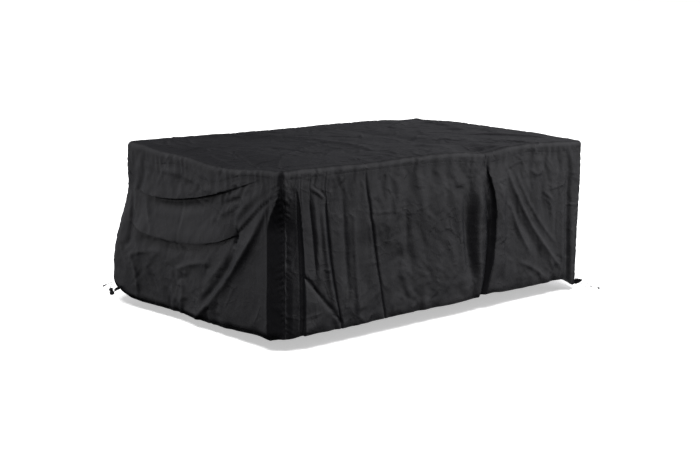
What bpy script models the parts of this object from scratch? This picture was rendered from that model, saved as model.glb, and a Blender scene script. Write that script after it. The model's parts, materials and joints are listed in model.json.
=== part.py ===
"""Fitted patio furniture cover, hollow below its top, with the folds it has when draped.

Five panels of coated polyester cloth, each a 2 mm sheet: a top panel and four
side panels, sewn to each other just below the top edge and at the four corners.
The hem hangs free 0.9 m below the top.  Two ends of the hem's draw cord come out
at two opposite corners: one with a cord end and a cord lock, one with a folded
tab of the hem, a knot and a cord end.

Frame: +Z up, X along the long side, -Y the long side in front, -X the short side
at the left.  The origin is under the middle of the top, where the cover is
carried.
"""

import math
from collections import namedtuple

import bpy
import numpy as np
from mathutils import Vector

# ---------------------------------------------------------------- sizes (metres)
LENGTH = 2.37            # long side of the top
WIDTH = 1.51             # short side of the top
DROP = 0.885             # top to hem, in the middle of a side
CLOTH = 0.002            # thickness of a sheet
TOP_LIFT = 0.006         # outer face of the flat top above the origin
EDGE_RADIUS = 0.026      # rounding of the cloth over the top edge
CORNER_RADIUS = 0.030    # rounding of the four upright corners
SEAM_GAP = 0.0005        # clearance between two panels at a seam

# ---------------------------------------------------------------- mesh density
LONG_STEPS = 44          # columns along a long side
SHORT_STEPS = 22         # columns along a short side
ROWS = 16                # rows from the seam to the hem, alike on the four sides
RIM = 3                  # grid layers between the seam and the flat top

HALF_X = LENGTH / 2.0
HALF_Y = WIDTH / 2.0

# ---------------------------------------------------------------- folds
# A fold runs along a smooth line through three points of its panel (start, middle,
# end): s along the panel, h down from the top; on the top panel s is x and h is y.
# out_* is how far the cloth stands out (+) or in (-) there, wide is its half width.
# Kinds: ridge is a round swell or hollow, crease is sharp, lap hangs over the cloth
# on its right hand side when the line is followed with h pointing down, and line only
# marks where the cloth is folded by the tuck.
Fold = namedtuple("Fold", "name kind s0 h0 s1 h1 s2 h2 out_0 out_1 out_2 wide")

FRONT_FOLDS = [
    Fold("tuck_lip", "line", -1.028, 0.90, -1.031, 0.42, -1.080, 0.10, 0, 0, 0, 0),
    Fold("tuck_back", "line", -1.064, 0.90, -1.064, 0.42, -1.085, 0.11, 0, 0, 0, 0),
    Fold("second_pleat", "ridge", -0.958, 0.62, -0.968, 0.373, -1.004, 0.130, -0.004, -0.012, -0.004, 0.012),
    Fold("second_swell", "ridge", -0.930, 0.66, -0.940, 0.373, -0.975, 0.140, 0.004, 0.008, 0.004, 0.020),
    Fold("third_pleat", "lap", -0.760, 0.97, -0.852, 0.50, -0.892, 0.10, 0.018, 0.028, 0.018, 0.050),
    Fold("pleat_cap", "ridge", -1.000, 0.098, -0.952, 0.120, -0.890, 0.166, 0.004, 0.014, 0.010, 0.016),
    Fold("diagonal", "ridge", -0.785, 0.85, -0.922, 0.688, -1.020, 0.56, -0.014, -0.018, -0.006, 0.028),
    Fold("short_crease", "crease", -0.777, 0.114, -0.762, 0.34, -0.725, 0.79, -0.003, -0.010, -0.006, 0.016),
    Fold("soft_ridge", "ridge", -0.700, 0.24, -0.690, 0.50, -0.660, 0.84, 0.004, 0.010, 0.008, 0.024),
    Fold("fourth_pleat", "lap", -0.460, 0.93, -0.545, 0.48, -0.622, 0.03, 0.006, 0.016, 0.012, 0.060),
    Fold("packing_crease", "ridge", -0.64, 0.262, -0.50, 0.282, -0.34, 0.292, 0.002, 0.006, 0.004, 0.016),
    Fold("packing_upright", "crease", -0.325, 0.22, -0.318, 0.36, -0.313, 0.50, -0.002, -0.008, -0.002, 0.020),
    Fold("shoulder", "ridge", -0.30, 0.260, -0.05, 0.205, 0.20, 0.155, 0.003, 0.012, 0.008, 0.030),
    Fold("wide_trough", "ridge", 0.215, 0.78, 0.165, 0.50, 0.140, 0.22, -0.006, -0.018, -0.006, 0.045),
    Fold("bulge", "ridge", 0.270, 0.84, 0.255, 0.50, 0.250, 0.18, 0.006, 0.016, 0.006, 0.045),
    Fold("slit_hollow", "ridge", 0.262, 0.95, 0.352, 0.60, 0.300, 0.22, -0.020, -0.026, -0.008, 0.026),
    Fold("slit", "lap", 0.305, 0.06, 0.395, 0.50, 0.278, 1.00, 0.020, 0.040, 0.030, 0.085),
    Fold("fan_ridge", "ridge", 0.45, 0.06, 0.66, 0.42, 1.03, 0.82, 0.008, 0.022, 0.010, 0.026),
    Fold("fan_hollow", "ridge", 0.45, 0.16, 0.59, 0.42, 0.88, 0.76, -0.004, -0.014, -0.006, 0.040),
    Fold("fan_second", "ridge", 0.50, 0.30, 0.60, 0.50, 0.74, 0.70, 0.004, 0.012, 0.004, 0.026),
    Fold("fan_upright", "ridge", 0.445, 0.20, 0.460, 0.50, 0.475, 0.80, 0.004, 0.010, 0.008, 0.020),
    Fold("v_wrinkle", "ridge", 0.69, 0.14, 0.755, 0.190, 0.82, 0.150, 0.003, 0.009, 0.003, 0.018),
    Fold("right_wrinkle", "ridge", 0.79, 0.285, 0.86, 0.33, 0.93, 0.37, 0.003, 0.009, 0.003, 0.020),
    Fold("hem_wrinkle", "ridge", 0.60, 0.71, 0.72, 0.755, 0.84, 0.83, 0.003, 0.010, 0.004, 0.022),
    Fold("corner_strip", "ridge", 1.05, 0.12, 1.065, 0.50, 1.08, 0.88, -0.004, -0.010, -0.008, 0.028),
]
LEFT_FOLDS = [
    Fold("face_edge", "line", -0.652, 0.36, -0.700, 0.215, -0.7486, 0.07, 0, 0, 0, 0),
    Fold("upper_cowl", "lap", -0.69, 0.020, 0.07, 0.240, 0.66, 0.262, 0.008, 0.028, 0.012, 0.075),
    Fold("upper_sag", "ridge", -0.45, 0.15, 0.12, 0.30, 0.55, 0.31, -0.002, -0.010, -0.004, 0.036),
    Fold("lower_cowl", "lap", -0.405, 0.368, 0.12, 0.494, 0.66, 0.458, 0.014, 0.040, 0.014, 0.095),
    Fold("lower_sag", "ridge", -0.10, 0.50, 0.25, 0.54, 0.58, 0.55, -0.006, -0.018, -0.008, 0.040),
    Fold("cowl_fold", "crease", -0.715, 0.112, -0.535, 0.246, -0.378, 0.370, -0.003, -0.012, -0.008, 0.022),
    Fold("cowl_back", "ridge", -0.345, 0.300, -0.500, 0.190, -0.640, 0.095, 0.006, 0.012, 0.004, 0.030),
    Fold("pinch", "ridge", -0.385, 0.345, -0.370, 0.400, -0.350, 0.450, -0.006, -0.016, -0.004, 0.022),
    Fold("diagonal_ridge", "ridge", -0.700, 0.11, -0.430, 0.50, -0.010, 0.92, 0.008, 0.032, 0.024, 0.045),
    Fold("diagonal_hollow", "ridge", -0.38, 0.46, -0.24, 0.66, -0.06, 0.82, -0.008, -0.024, -0.014, 0.045),
    Fold("crumple_one", "ridge", 0.64, 0.68, 0.47, 0.61, 0.30, 0.58, 0.006, 0.018, 0.008, 0.030),
    Fold("crumple_two", "ridge", 0.19, 0.67, 0.04, 0.61, -0.14, 0.57, 0.006, 0.018, 0.008, 0.030),
    Fold("crumple_three", "ridge", 0.41, 0.68, 0.37, 0.74, 0.32, 0.82, -0.004, -0.010, -0.004, 0.024),
    Fold("crumple_four", "ridge", 0.56, 0.62, 0.50, 0.72, 0.48, 0.86, 0.006, 0.018, 0.014, 0.034),
    Fold("crumple_five", "ridge", 0.12, 0.70, 0.10, 0.79, 0.12, 0.90, 0.006, 0.018, 0.014, 0.032),
    Fold("far_hollow", "ridge", 0.62, 0.30, 0.60, 0.52, 0.58, 0.74, -0.006, -0.014, -0.006, 0.040),
    Fold("packing_crease", "crease", 0.163, 0.27, 0.164, 0.40, 0.163, 0.60, -0.002, -0.006, -0.002, 0.016),
    Fold("seam_roll", "ridge", 0.62, 0.115, 0.20, 0.125, -0.18, 0.170, 0.004, 0.010, 0.006, 0.020),
    Fold("shoulder_fold", "ridge", 0.47, 0.022, 0.06, 0.050, -0.34, 0.080, 0.002, 0.010, 0.004, 0.022),
]
BACK_FOLDS = [
    Fold("left_pleat", "ridge", -1.00, 0.10, -0.96, 0.50, -0.93, 0.90, -0.006, -0.026, -0.030, 0.045),
    Fold("left_swell", "ridge", -0.82, 0.12, -0.80, 0.50, -0.74, 0.90, 0.006, 0.022, 0.030, 0.060),
    Fold("middle_hollow", "ridge", -0.45, 0.15, -0.42, 0.50, -0.36, 0.90, -0.004, -0.020, -0.026, 0.080),
    Fold("middle_swell", "ridge", -0.10, 0.20, -0.05, 0.55, 0.04, 0.90, 0.004, 0.020, 0.028, 0.070),
    Fold("swag", "ridge", -0.90, 0.08, -0.20, 0.30, 0.50, 0.10, 0.004, 0.018, 0.004, 0.050),
    Fold("right_hollow", "ridge", 0.40, 0.12, 0.42, 0.50, 0.34, 0.90, -0.006, -0.024, -0.026, 0.060),
    Fold("right_swell", "ridge", 0.66, 0.12, 0.68, 0.50, 0.64, 0.90, 0.006, 0.022, 0.032, 0.060),
    Fold("right_pleat", "ridge", 0.95, 0.10, 0.92, 0.50, 0.93, 0.90, -0.006, -0.022, -0.026, 0.050),
]
RIGHT_FOLDS = [
    Fold("cowl", "ridge", -0.66, 0.08, 0.00, 0.33, 0.66, 0.10, 0.006, 0.026, 0.006, 0.050),
    Fold("cowl_hollow", "ridge", -0.55, 0.20, 0.00, 0.44, 0.55, 0.22, -0.004, -0.018, -0.004, 0.050),
    Fold("near_pleat", "ridge", -0.56, 0.12, -0.52, 0.50, -0.48, 0.90, -0.006, -0.024, -0.028, 0.050),
    Fold("near_swell", "ridge", -0.30, 0.50, -0.28, 0.70, -0.22, 0.90, 0.006, 0.020, 0.030, 0.060),
    Fold("middle_hollow", "ridge", 0.06, 0.52, 0.08, 0.70, 0.10, 0.90, -0.004, -0.018, -0.024, 0.060),
    Fold("far_swell", "ridge", 0.34, 0.48, 0.33, 0.70, 0.30, 0.90, 0.006, 0.020, 0.028, 0.060),
    Fold("far_pleat", "ridge", 0.58, 0.12, 0.55, 0.50, 0.55, 0.90, -0.006, -0.020, -0.024, 0.045),
]
TOP_FOLDS = [
    Fold("left_dip", "ridge", -0.98, 0.50, -0.92, 0.28, -0.90, 0.02, -0.008, -0.018, -0.008, 0.150),
    Fold("ray_one", "ridge", -1.12, -0.66, -0.78, -0.10, -0.60, 0.40, 0.004, 0.010, 0.003, 0.030),
    Fold("ray_two", "ridge", -1.08, -0.66, -0.70, -0.30, -0.35, 0.05, 0.004, 0.009, 0.003, 0.028),
    Fold("ray_three", "ridge", -1.08, -0.30, -0.98, 0.00, -0.95, 0.30, 0.003, 0.009, 0.003, 0.028),
    Fold("across_one", "ridge", -0.35, 0.55, -0.25, 0.00, -0.30, -0.50, 0.003, 0.008, 0.003, 0.040),
    Fold("across_two", "ridge", 0.20, 0.55, 0.24, 0.00, 0.16, -0.50, -0.003, -0.010, -0.004, 0.060),
    Fold("edge_lens", "ridge", 0.10, -0.66, 0.29, -0.675, 0.48, -0.68, -0.004, -0.012, -0.004, 0.040),
    Fold("edge_roll", "ridge", -1.05, -0.66, -0.60, -0.64, -0.20, -0.655, 0.002, 0.008, 0.003, 0.030),
    Fold("far_wrinkle", "ridge", 0.50, 0.30, 0.75, 0.44, 1.02, 0.56, 0.003, 0.010, 0.003, 0.030),
    Fold("far_wrinkle_two", "ridge", 0.80, -0.10, 0.93, 0.20, 1.00, 0.50, 0.003, 0.009, 0.003, 0.032),
    Fold("right_ray", "ridge", 1.06, -0.62, 0.88, -0.40, 0.62, -0.20, 0.003, 0.009, 0.003, 0.030),
]

LAP_STEP = 0.009         # distance from a lap's lip to the line where it is tucked in
LAP_EDGE = 0.004         # how sharply the cloth turns in below the lip

# Where the top edge sags between the corners, and how deep the seam is.
Dip = namedtuple("Dip", "side s wide depth")
EDGE_DIPS = [
    Dip("left", -0.20, 0.36, 0.045),
    Dip("left", 0.38, 0.22, 0.018),
    Dip("front", 0.30, 0.18, 0.026),
    Dip("front", -0.55, 0.25, 0.006),
    Dip("back", 0.98, 0.16, 0.008),
    Dip("back", -0.20, 0.40, 0.004),
    Dip("right", 0.56, 0.14, 0.008),
    Dip("right", -0.10, 0.30, 0.004),
]
SEAM_DEPTH = 0.048       # top seam below the top, at a corner and where no dip is listed
SEAM_DIPS = [
    Dip("left", 0.45, 0.22, 0.052),
    Dip("left", -0.12, 0.24, 0.085),
    Dip("front", 0.32, 0.22, 0.040),
    Dip("front", 0.92, 0.16, 0.016),
    Dip("back", 0.00, 0.50, 0.020),
    Dip("right", 0.00, 0.30, 0.030),
]

# Corners of the top that sit lower than the rest, and how far along the edges that goes.
Low = namedtuple("Low", "side_x side_y depth reach")
LOW_CORNERS = [
    Low(1, -1, 0.020, 0.30),
    Low(1, 1, 0.012, 0.16),
    Low(-1, 1, 0.003, 0.10),
]
# Depth of the hem: the drop, plus these.
HEM_STEP = {"front": -0.006, "left": 0.026, "back": 0.004, "right": 0.004}
HEM_CORNER = {(-1, -1): 0.004, (1, -1): 0.044, (-1, 1): -0.034, (1, 1): 0.012}
HEM_DIPS = [
    Dip("front", 0.365, 0.070, -0.014),
    Dip("left", -0.56, 0.140, -0.016),
    Dip("left", 0.66, 0.120, -0.024),
]

# How far each hem corner stands out from the top corner above it, and the depths
# between which the cloth swings out.  reach is how far along the sides that goes.
Flare = namedtuple("Flare", "side_x side_y dx dy start end reach")
CORNER_FLARES = [
    Flare(-1, -1, -0.006, -0.010, 0.10, 0.60, 0.10),
    Flare(1, -1, -0.024, -0.014, 0.10, 0.70, 0.20),
    Flare(-1, 1, -0.086, 0.044, 0.22, 0.72, 0.42),
    Flare(1, 1, 0.030, 0.030, 0.20, 0.85, 0.35),
]
SIDE_FLARE = {"front": 0.010, "left": 0.030, "back": 0.025, "right": 0.020}

# The tuck at the near upright corner: how far its seam is moved in, between which depths
# that grows, how wide the flat face beside the seam is on the short side, how far that
# face's edge stands out and over what distance that eases off.
Tuck = namedtuple("Tuck", "dx dy start end face stand ease")
TUCK = Tuck(0.0515, 0.0406, 0.07, 0.36, 0.0966, 0.011, 0.15)
TUCK_BACK = 0.78         # depth of the tuck at its back line, as a share of its depth at the seam
TUCK_FOOT = 0.42         # and at the foot of its lip
TUCK_LIP = 0.016         # width of the lip's wall


def smooth(t):
    """0 to 1 with level ends."""
    t = np.clip(t, 0.0, 1.0)
    return t * t * (3.0 - 2.0 * t)


def fold_line(fold, steps=14):
    """Points of the parabola through a fold's start, middle and end; a lap dies out at its ends."""
    t = np.linspace(0.0, 1.0, steps + 1)
    first = 2.0 * (t - 0.5) * (t - 1.0)
    middle = 4.0 * t * (1.0 - t)
    last = 2.0 * t * (t - 0.5)
    s = fold.s0 * first + fold.s1 * middle + fold.s2 * last
    h = fold.h0 * first + fold.h1 * middle + fold.h2 * last
    out = fold.out_0 * first + fold.out_1 * middle + fold.out_2 * last
    if fold.kind == "lap":
        out = out * smooth(t / 0.14) * smooth((1.0 - t) / 0.14)
    return s, h, out


def fold_field(folds, s, h):
    """Summed relief of the folds at (s, h): out, and the lean of the laps along s and h."""
    out = np.zeros_like(s)
    lean_s = np.zeros_like(s)
    lean_h = np.zeros_like(s)
    for fold in folds:
        if fold.kind == "line":
            continue
        line_s, line_h, line_out = fold_line(fold)
        best = np.full(s.shape, 1e9)
        side = np.zeros_like(s)
        height = np.zeros_like(s)
        across_s = np.zeros_like(s)
        across_h = np.zeros_like(s)
        for k in range(len(line_s) - 1):
            ds = line_s[k + 1] - line_s[k]
            dh = line_h[k + 1] - line_h[k]
            size = math.hypot(ds, dh)
            t = ((s - line_s[k]) * ds + (h - line_h[k]) * dh) / (size * size)
            t = np.clip(t, 0.0, 1.0)
            off_s = s - line_s[k] - t * ds
            off_h = h - line_h[k] - t * dh
            distance = np.hypot(off_s, off_h)
            near = distance < best
            best = np.where(near, distance, best)
            side = np.where(near, (ds * off_h - dh * off_s) / size, side)
            height = np.where(near, line_out[k] + t * (line_out[k + 1] - line_out[k]), height)
            across_s = np.where(near, -dh / size, across_s)
            across_h = np.where(near, ds / size, across_h)
        if fold.kind == "ridge":
            out += height * np.exp(-(best / fold.wide) ** 2)
        elif fold.kind == "crease":
            out += height * np.exp(-best / fold.wide)
        else:
            over = side < 0.0005
            lip = np.exp(-(best / fold.wide) ** 2)
            tuck = np.exp(-(best / LAP_EDGE) ** 2)
            under = smooth(best / LAP_STEP) * np.exp(-(best / (0.55 * fold.wide)) ** 2)
            out += height * np.where(over, lip, tuck - 0.30 * under)
            hang = 0.35 * height * np.where(over, np.exp(-(best / (0.4 * fold.wide)) ** 2), tuck)
            lean_s += hang * across_s
            lean_h += hang * across_h
    return out, lean_s, lean_h


def dips(table, side, s):
    """Summed dips of one side at s."""
    total = np.zeros_like(s)
    for row in table:
        if row.side == side:
            total += row.depth * np.exp(-((s - row.s) / row.wide) ** 2)
    return total


# ---------------------------------------------------------------- the four sides
Side = namedtuple("Side", "name half reach along outward folds steps")
SIDES = {
    "front": Side("front", HALF_X, HALF_Y, (1, 0), (0, -1), FRONT_FOLDS, LONG_STEPS),
    "right": Side("right", HALF_Y, HALF_X, (0, 1), (1, 0), RIGHT_FOLDS, SHORT_STEPS),
    "back": Side("back", HALF_X, HALF_Y, (1, 0), (0, 1), BACK_FOLDS, LONG_STEPS),
    "left": Side("left", HALF_Y, HALF_X, (0, 1), (-1, 0), LEFT_FOLDS, SHORT_STEPS),
}


def corner_fade(side, s):
    """1 on the straight of a side, 0 at its corner seams."""
    return smooth((side.half - 0.010 - np.abs(s)) / 0.055)


def corner_key(side, s):
    """Signs of the corner nearest to s."""
    sign = np.where(s < 0.0, -1, 1)
    if side.outward[0] != 0:
        return np.full(s.shape, side.outward[0]), sign
    return sign, np.full(s.shape, side.outward[1])


def low_corner(side, s):
    """How far the top edge is lowered by a low corner."""
    key_x, key_y = corner_key(side, s)
    total = np.zeros_like(s)
    away = np.maximum(side.half - CORNER_RADIUS - np.abs(s), 0.0)
    for row in LOW_CORNERS:
        match = (key_x == row.side_x) & (key_y == row.side_y)
        total += np.where(match, row.depth * np.exp(-(away / row.reach) ** 2), 0.0)
    return total


def edge_drop(side, s):
    """Sag of the top edge below the flat top."""
    return dips(EDGE_DIPS, side.name, s) * corner_fade(side, s)


def seam_depth(side, s):
    """Depth of the seam between the top panel and a side panel."""
    return SEAM_DEPTH + low_corner(side, s) + dips(SEAM_DIPS, side.name, s) * corner_fade(side, s)


def hem_depth(side, s):
    """Depth of the hem: its own value at each corner, slightly wavy between."""
    key_x, key_y = corner_key(side, s)
    away = np.maximum(side.half - CORNER_RADIUS - np.abs(s), 0.0)
    near = np.exp(-(away / 0.08) ** 2)
    corner = np.zeros_like(s)
    for (side_x, side_y), depth in HEM_CORNER.items():
        corner += np.where((key_x == side_x) & (key_y == side_y), depth, 0.0)
    wave = 0.003 * np.sin(9.0 * s + 2.0 * side.reach)
    middle = HEM_STEP[side.name] + wave + dips(HEM_DIPS, side.name, s)
    return DROP + corner * near + middle * (1.0 - near)


def rounded(side, s):
    """Run along a side's bare outline and its stand off the middle at s, and the turn there."""
    straight = side.half - CORNER_RADIUS
    turn = np.clip((np.abs(s) - straight) / CORNER_RADIUS, 0.0, math.pi / 4.0)
    run = np.where(turn > 0.0, np.sign(s) * (straight + CORNER_RADIUS * np.sin(turn)), s)
    return run, side.reach - CORNER_RADIUS + CORNER_RADIUS * np.cos(turn), turn


def at_depth(side, name, h):
    """Place along the panel of the fold of that name, at depth h."""
    line_s, line_h, _ = fold_line(named(side.folds, name))
    order = np.argsort(line_h)
    return np.interp(h, line_h[order], line_s[order])


def tucked(side, s, h, x, y):
    """x and y of a side's points, with the cloth round the near corner tucked in.

    On the short side a flat face runs straight from its edge, which stands out a little, to
    the seam.  On the long side the depth falls from the seam to the tuck's back line and on
    to the foot of its lip, then drops to nothing over the lip's wall.
    """
    if side.name not in ("front", "left"):
        return x, y
    grown = smooth((h - TUCK.start) / (TUCK.end - TUCK.start))
    end = side.half - CORNER_RADIUS * (1.0 - math.pi / 4.0)
    inset = CORNER_RADIUS * (1.0 - math.sqrt(0.5))
    run, stand, _ = rounded(side, s)
    bare_x = side.along[0] * run + side.outward[0] * stand
    bare_y = side.along[1] * run + side.outward[1] * stand
    if side.name == "left":
        edge = end - TUCK.face * grown
        share = np.clip((-s - edge) / np.maximum(end - edge, 1e-4), 0.0, 1.0)
        proud = TUCK.stand * grown * np.exp(-np.maximum(edge + s, 0.0) / TUCK.ease)
        turn = np.maximum(edge - side.half + CORNER_RADIUS, 0.0) / CORNER_RADIUS
        edge_x = -HALF_X + CORNER_RADIUS * (1.0 - np.cos(turn)) - proud
        edge_y = -np.where(turn > 0.0, side.half - CORNER_RADIUS * (1.0 - np.sin(turn)), edge)
        seam_x = -HALF_X + inset + TUCK.dx * grown
        seam_y = -HALF_Y + inset + TUCK.dy * grown
        face = -s > edge
        x = np.where(face, x - bare_x + edge_x + (seam_x - edge_x) * share, x - proud)
        y = np.where(face, y - bare_y + edge_y + (seam_y - edge_y) * share, y)
        return x, y
    seam_x = -HALF_X + inset + TUCK.dx
    at_seam = (inset + TUCK.dy) / TUCK.dy
    lip, back = at_depth(side, "tuck_lip", h), at_depth(side, "tuck_back", h)
    foot = lip - TUCK_LIP
    inner = at_seam + (TUCK_BACK - at_seam) * np.clip((s + end) / (back + end), 0.0, 1.0)
    slope = TUCK_BACK + (TUCK_FOOT - TUCK_BACK) * np.clip((s - back) / (foot - back), 0.0, 1.0)
    wall = TUCK_FOOT * np.clip((lip - s) / TUCK_LIP, 0.0, 1.0)
    depth = np.where(s < back, inner, np.where(s < foot, slope, wall))
    share = np.clip((s + end) / (lip + end), 0.0, 1.0)
    x = x + grown * np.where(s < lip, seam_x + (lip - seam_x) * share - bare_x, 0.0)
    y = y + grown * np.where(s < lip, -HALF_Y + TUCK.dy * depth - bare_y, 0.0)
    return x, y


def side_point(side, s, h):
    """Place on the outer face of a side at s along it (rounded corners included), h down."""
    run, stand, turn = rounded(side, s)
    sign = np.sign(s)
    norm_run = sign * np.sin(turn)
    norm_out = np.cos(turn)

    fade = corner_fade(side, s)
    relief, lean_s, lean_h = fold_field(side.folds, s, h)
    seam = seam_depth(side, s)
    below = smooth((h - seam) / 0.05)
    flare = SIDE_FLARE[side.name] * smooth((h - 0.25) / 0.65)
    if side.name == "left":
        flare = flare * smooth((s + side.half) / 0.60)
    out = (relief * (0.25 + 0.75 * below) + flare) * fade
    run = run + lean_s * fade * below + norm_run * out
    stand = stand + norm_out * out
    down = h + lean_h * fade * below

    x = side.along[0] * run + side.outward[0] * stand
    y = side.along[1] * run + side.outward[1] * stand
    x, y = tucked(side, s, h, x, y)
    for row in CORNER_FLARES:
        if side.outward[0] != 0:
            same = row.side_x == side.outward[0]
            away = np.abs(s - row.side_y * side.half)
        else:
            same = row.side_y == side.outward[1]
            away = np.abs(s - row.side_x * side.half)
        if not same:
            continue
        near = np.exp(-(np.maximum(away - 0.02, 0.0) / row.reach) ** 2)
        swing = smooth((h - row.start) / (row.end - row.start)) * near
        x = x + row.dx * swing
        y = y + row.dy * swing
    return np.stack([x, y, TOP_LIFT - down], axis=-1)


# Lines down the front panel that its columns follow, left to right.  A line either keeps
# an offset from a fold, or runs from s_top at the seam to s_hem at the hem.
Line = namedtuple("Line", "fold offset s_top s_hem", defaults=(None, 0.0, 0.0, 0.0))
FRONT_LINES = [
    Line("tuck_back", -0.030),
    Line("tuck_back", 0.0),
    Line("tuck_lip", -0.016),
    Line("tuck_lip", 0.0),
    Line("tuck_lip", 0.016),
    Line("second_pleat", -0.014),
    Line("second_pleat", 0.0),
    Line("second_pleat", 0.016),
    Line("third_pleat", -0.036),
    Line("third_pleat", -0.014),
    Line("third_pleat", 0.0),
    Line("third_pleat", 0.009),
    Line("third_pleat", 0.034),
    Line("soft_ridge", 0.0),
    Line("fourth_pleat", -0.060),
    Line("fourth_pleat", -0.020),
    Line("fourth_pleat", 0.0),
    Line("fourth_pleat", 0.009),
    Line("fourth_pleat", 0.060),
    Line(None, 0.0, -0.385, -0.330),
    Line(None, 0.0, -0.310, -0.235),
    Line(None, 0.0, -0.185, -0.135),
    Line(None, 0.0, -0.060, -0.040),
    Line("wide_trough", -0.075),
    Line("wide_trough", 0.0),
    Line("bulge", 0.0),
    Line("slit", -0.070),
    Line("slit", -0.034),
    Line("slit", -0.009),
    Line("slit", 0.0),
    Line("slit", 0.010),
    Line("slit", 0.035),
    Line("slit", 0.080),
    Line("fan_upright", 0.030),
    Line("fan_ridge", -0.052),
    Line("fan_ridge", 0.0),
    Line("fan_ridge", 0.050),
]
LEFT_LINES = [
    Line("face_edge", -0.036),
    Line("face_edge", 0.0),
    Line("face_edge", 0.026),
    Line("diagonal_ridge", -0.060),
    Line("diagonal_ridge", 0.0),
    Line("diagonal_ridge", 0.055),
    Line(None, 0.0, -0.43, 0.07),
    Line(None, 0.0, -0.30, 0.15),
    Line(None, 0.0, -0.17, 0.23),
    Line(None, 0.0, -0.04, 0.31),
    Line(None, 0.0, 0.09, 0.38),
    Line(None, 0.0, 0.22, 0.45),
    Line(None, 0.0, 0.34, 0.52),
    Line(None, 0.0, 0.46, 0.58),
    Line(None, 0.0, 0.58, 0.65),
]
# Rows of the left panel, seam to hem: (cowl, offset below its lip) or (None, share of the
# way from the row before it to the next fixed row).
LEFT_ROWS = [
    (None, 0.34), (None, 0.67), ("upper_cowl", -0.024), ("upper_cowl", 0.0),
    ("upper_cowl", 0.009), ("upper_cowl", 0.045), (None, 0.5), ("lower_cowl", -0.052),
    ("lower_cowl", -0.018), ("lower_cowl", 0.0), ("lower_cowl", 0.009), ("lower_cowl", 0.050),
    (None, 0.25), (None, 0.50), (None, 0.75),
]


def named(folds, name):
    """The fold of that name."""
    return next(fold for fold in folds if fold.name == name)


def column_s(side, lines, h):
    """s of a panel's columns at depth h, without the rounded corners."""
    straight = side.half - CORNER_RADIUS
    share = (h - SEAM_DEPTH) / (DROP - SEAM_DEPTH)
    values = [-straight]
    for line in lines:
        if line.fold is None:
            value = line.s_top + (line.s_hem - line.s_top) * share
        else:
            line_s, line_h, _ = fold_line(named(side.folds, line.fold))
            order = np.argsort(line_h)
            value = float(np.interp(h, line_h[order], line_s[order])) + line.offset
        values.append(max(value, values[-1] + 0.009))
    values.append(straight)
    values = np.array(values)
    room = straight - 0.009 * np.arange(len(values))[::-1]
    return np.minimum(values, room)


def left_row_h(s, top, hem):
    """Depths of the left panel's rows at s."""
    wanted = [top]
    for cowl, value in LEFT_ROWS:
        if cowl is None:
            wanted.append(None)
            continue
        line_s, line_h, _ = fold_line(named(LEFT_FOLDS, cowl))
        h = float(np.interp(s, line_s, line_h)) + value
        floor = next(v for v in reversed(wanted) if v is not None) + 0.009
        wanted.append(max(h, floor + 0.009 * sum(v is None for v in wanted[-2:])))
    wanted.append(hem)
    for k in range(len(wanted)):
        if wanted[k] is None:
            first = k - 1
            last = next(n for n in range(k, len(wanted)) if wanted[n] is not None)
            for n in range(k, last):
                wanted[n] = wanted[first] + (wanted[last] - wanted[first]) * (n - first) / (last - first)
    return np.array(wanted)


def side_grid(side):
    """s and h of every grid point of a side panel, (columns, rows)."""
    straight = side.half - CORNER_RADIUS
    arc = CORNER_RADIUS * math.pi / 4.0 * np.arange(1, RIM + 1) / RIM
    inner = side.steps - 2 * RIM
    lines = {"front": FRONT_LINES, "left": LEFT_LINES}.get(side.name)
    s = np.zeros((side.steps + 1, ROWS + 1))
    h = np.zeros_like(s)
    for j in range(ROWS + 1):
        middle = np.linspace(-straight, straight, inner + 1)
        if lines:
            middle = column_s(side, lines, SEAM_DEPTH + (DROP - SEAM_DEPTH) * j / ROWS)
        s[:, j] = np.concatenate([-straight - arc[::-1], middle, straight + arc])
        for i in range(side.steps + 1):
            top = float(seam_depth(side, s[i, j:j + 1])[0])
            hem = float(hem_depth(side, s[i, j:j + 1])[0])
            h[i, j] = top + (hem - top) * j / ROWS
            if side.name == "left":
                own = float(smooth((straight - abs(s[i, j])) / 0.09))
                h[i, j] += own * (left_row_h(s[i, j], top, hem)[j] - h[i, j])
    return s, h


# ---------------------------------------------------------------- the top panel
def top_height(x, y):
    """Relief of the top at (x, y): sag towards the dipped edges and the top folds."""
    relief, _, _ = fold_field(TOP_FOLDS, x, y)
    inset_x = smooth((HALF_X - EDGE_RADIUS - np.abs(x)) / 0.06)
    inset_y = smooth((HALF_Y - EDGE_RADIUS - np.abs(y)) / 0.06)
    z = relief * inset_x * inset_y
    for side in SIDES.values():
        along = x if side.along[0] else y
        away = side.reach - (side.outward[0] * x + side.outward[1] * y)
        z = z - edge_drop(side, along) * np.exp(-(np.maximum(away - EDGE_RADIUS, 0.0) / 0.20) ** 2)
    for row in LOW_CORNERS:
        off_x = np.maximum(HALF_X - CORNER_RADIUS - row.side_x * x, 0.0)
        off_y = np.maximum(HALF_Y - CORNER_RADIUS - row.side_y * y, 0.0)
        z = z - row.depth * np.exp(-(np.hypot(off_x, off_y) / row.reach) ** 2)
    return z


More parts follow.
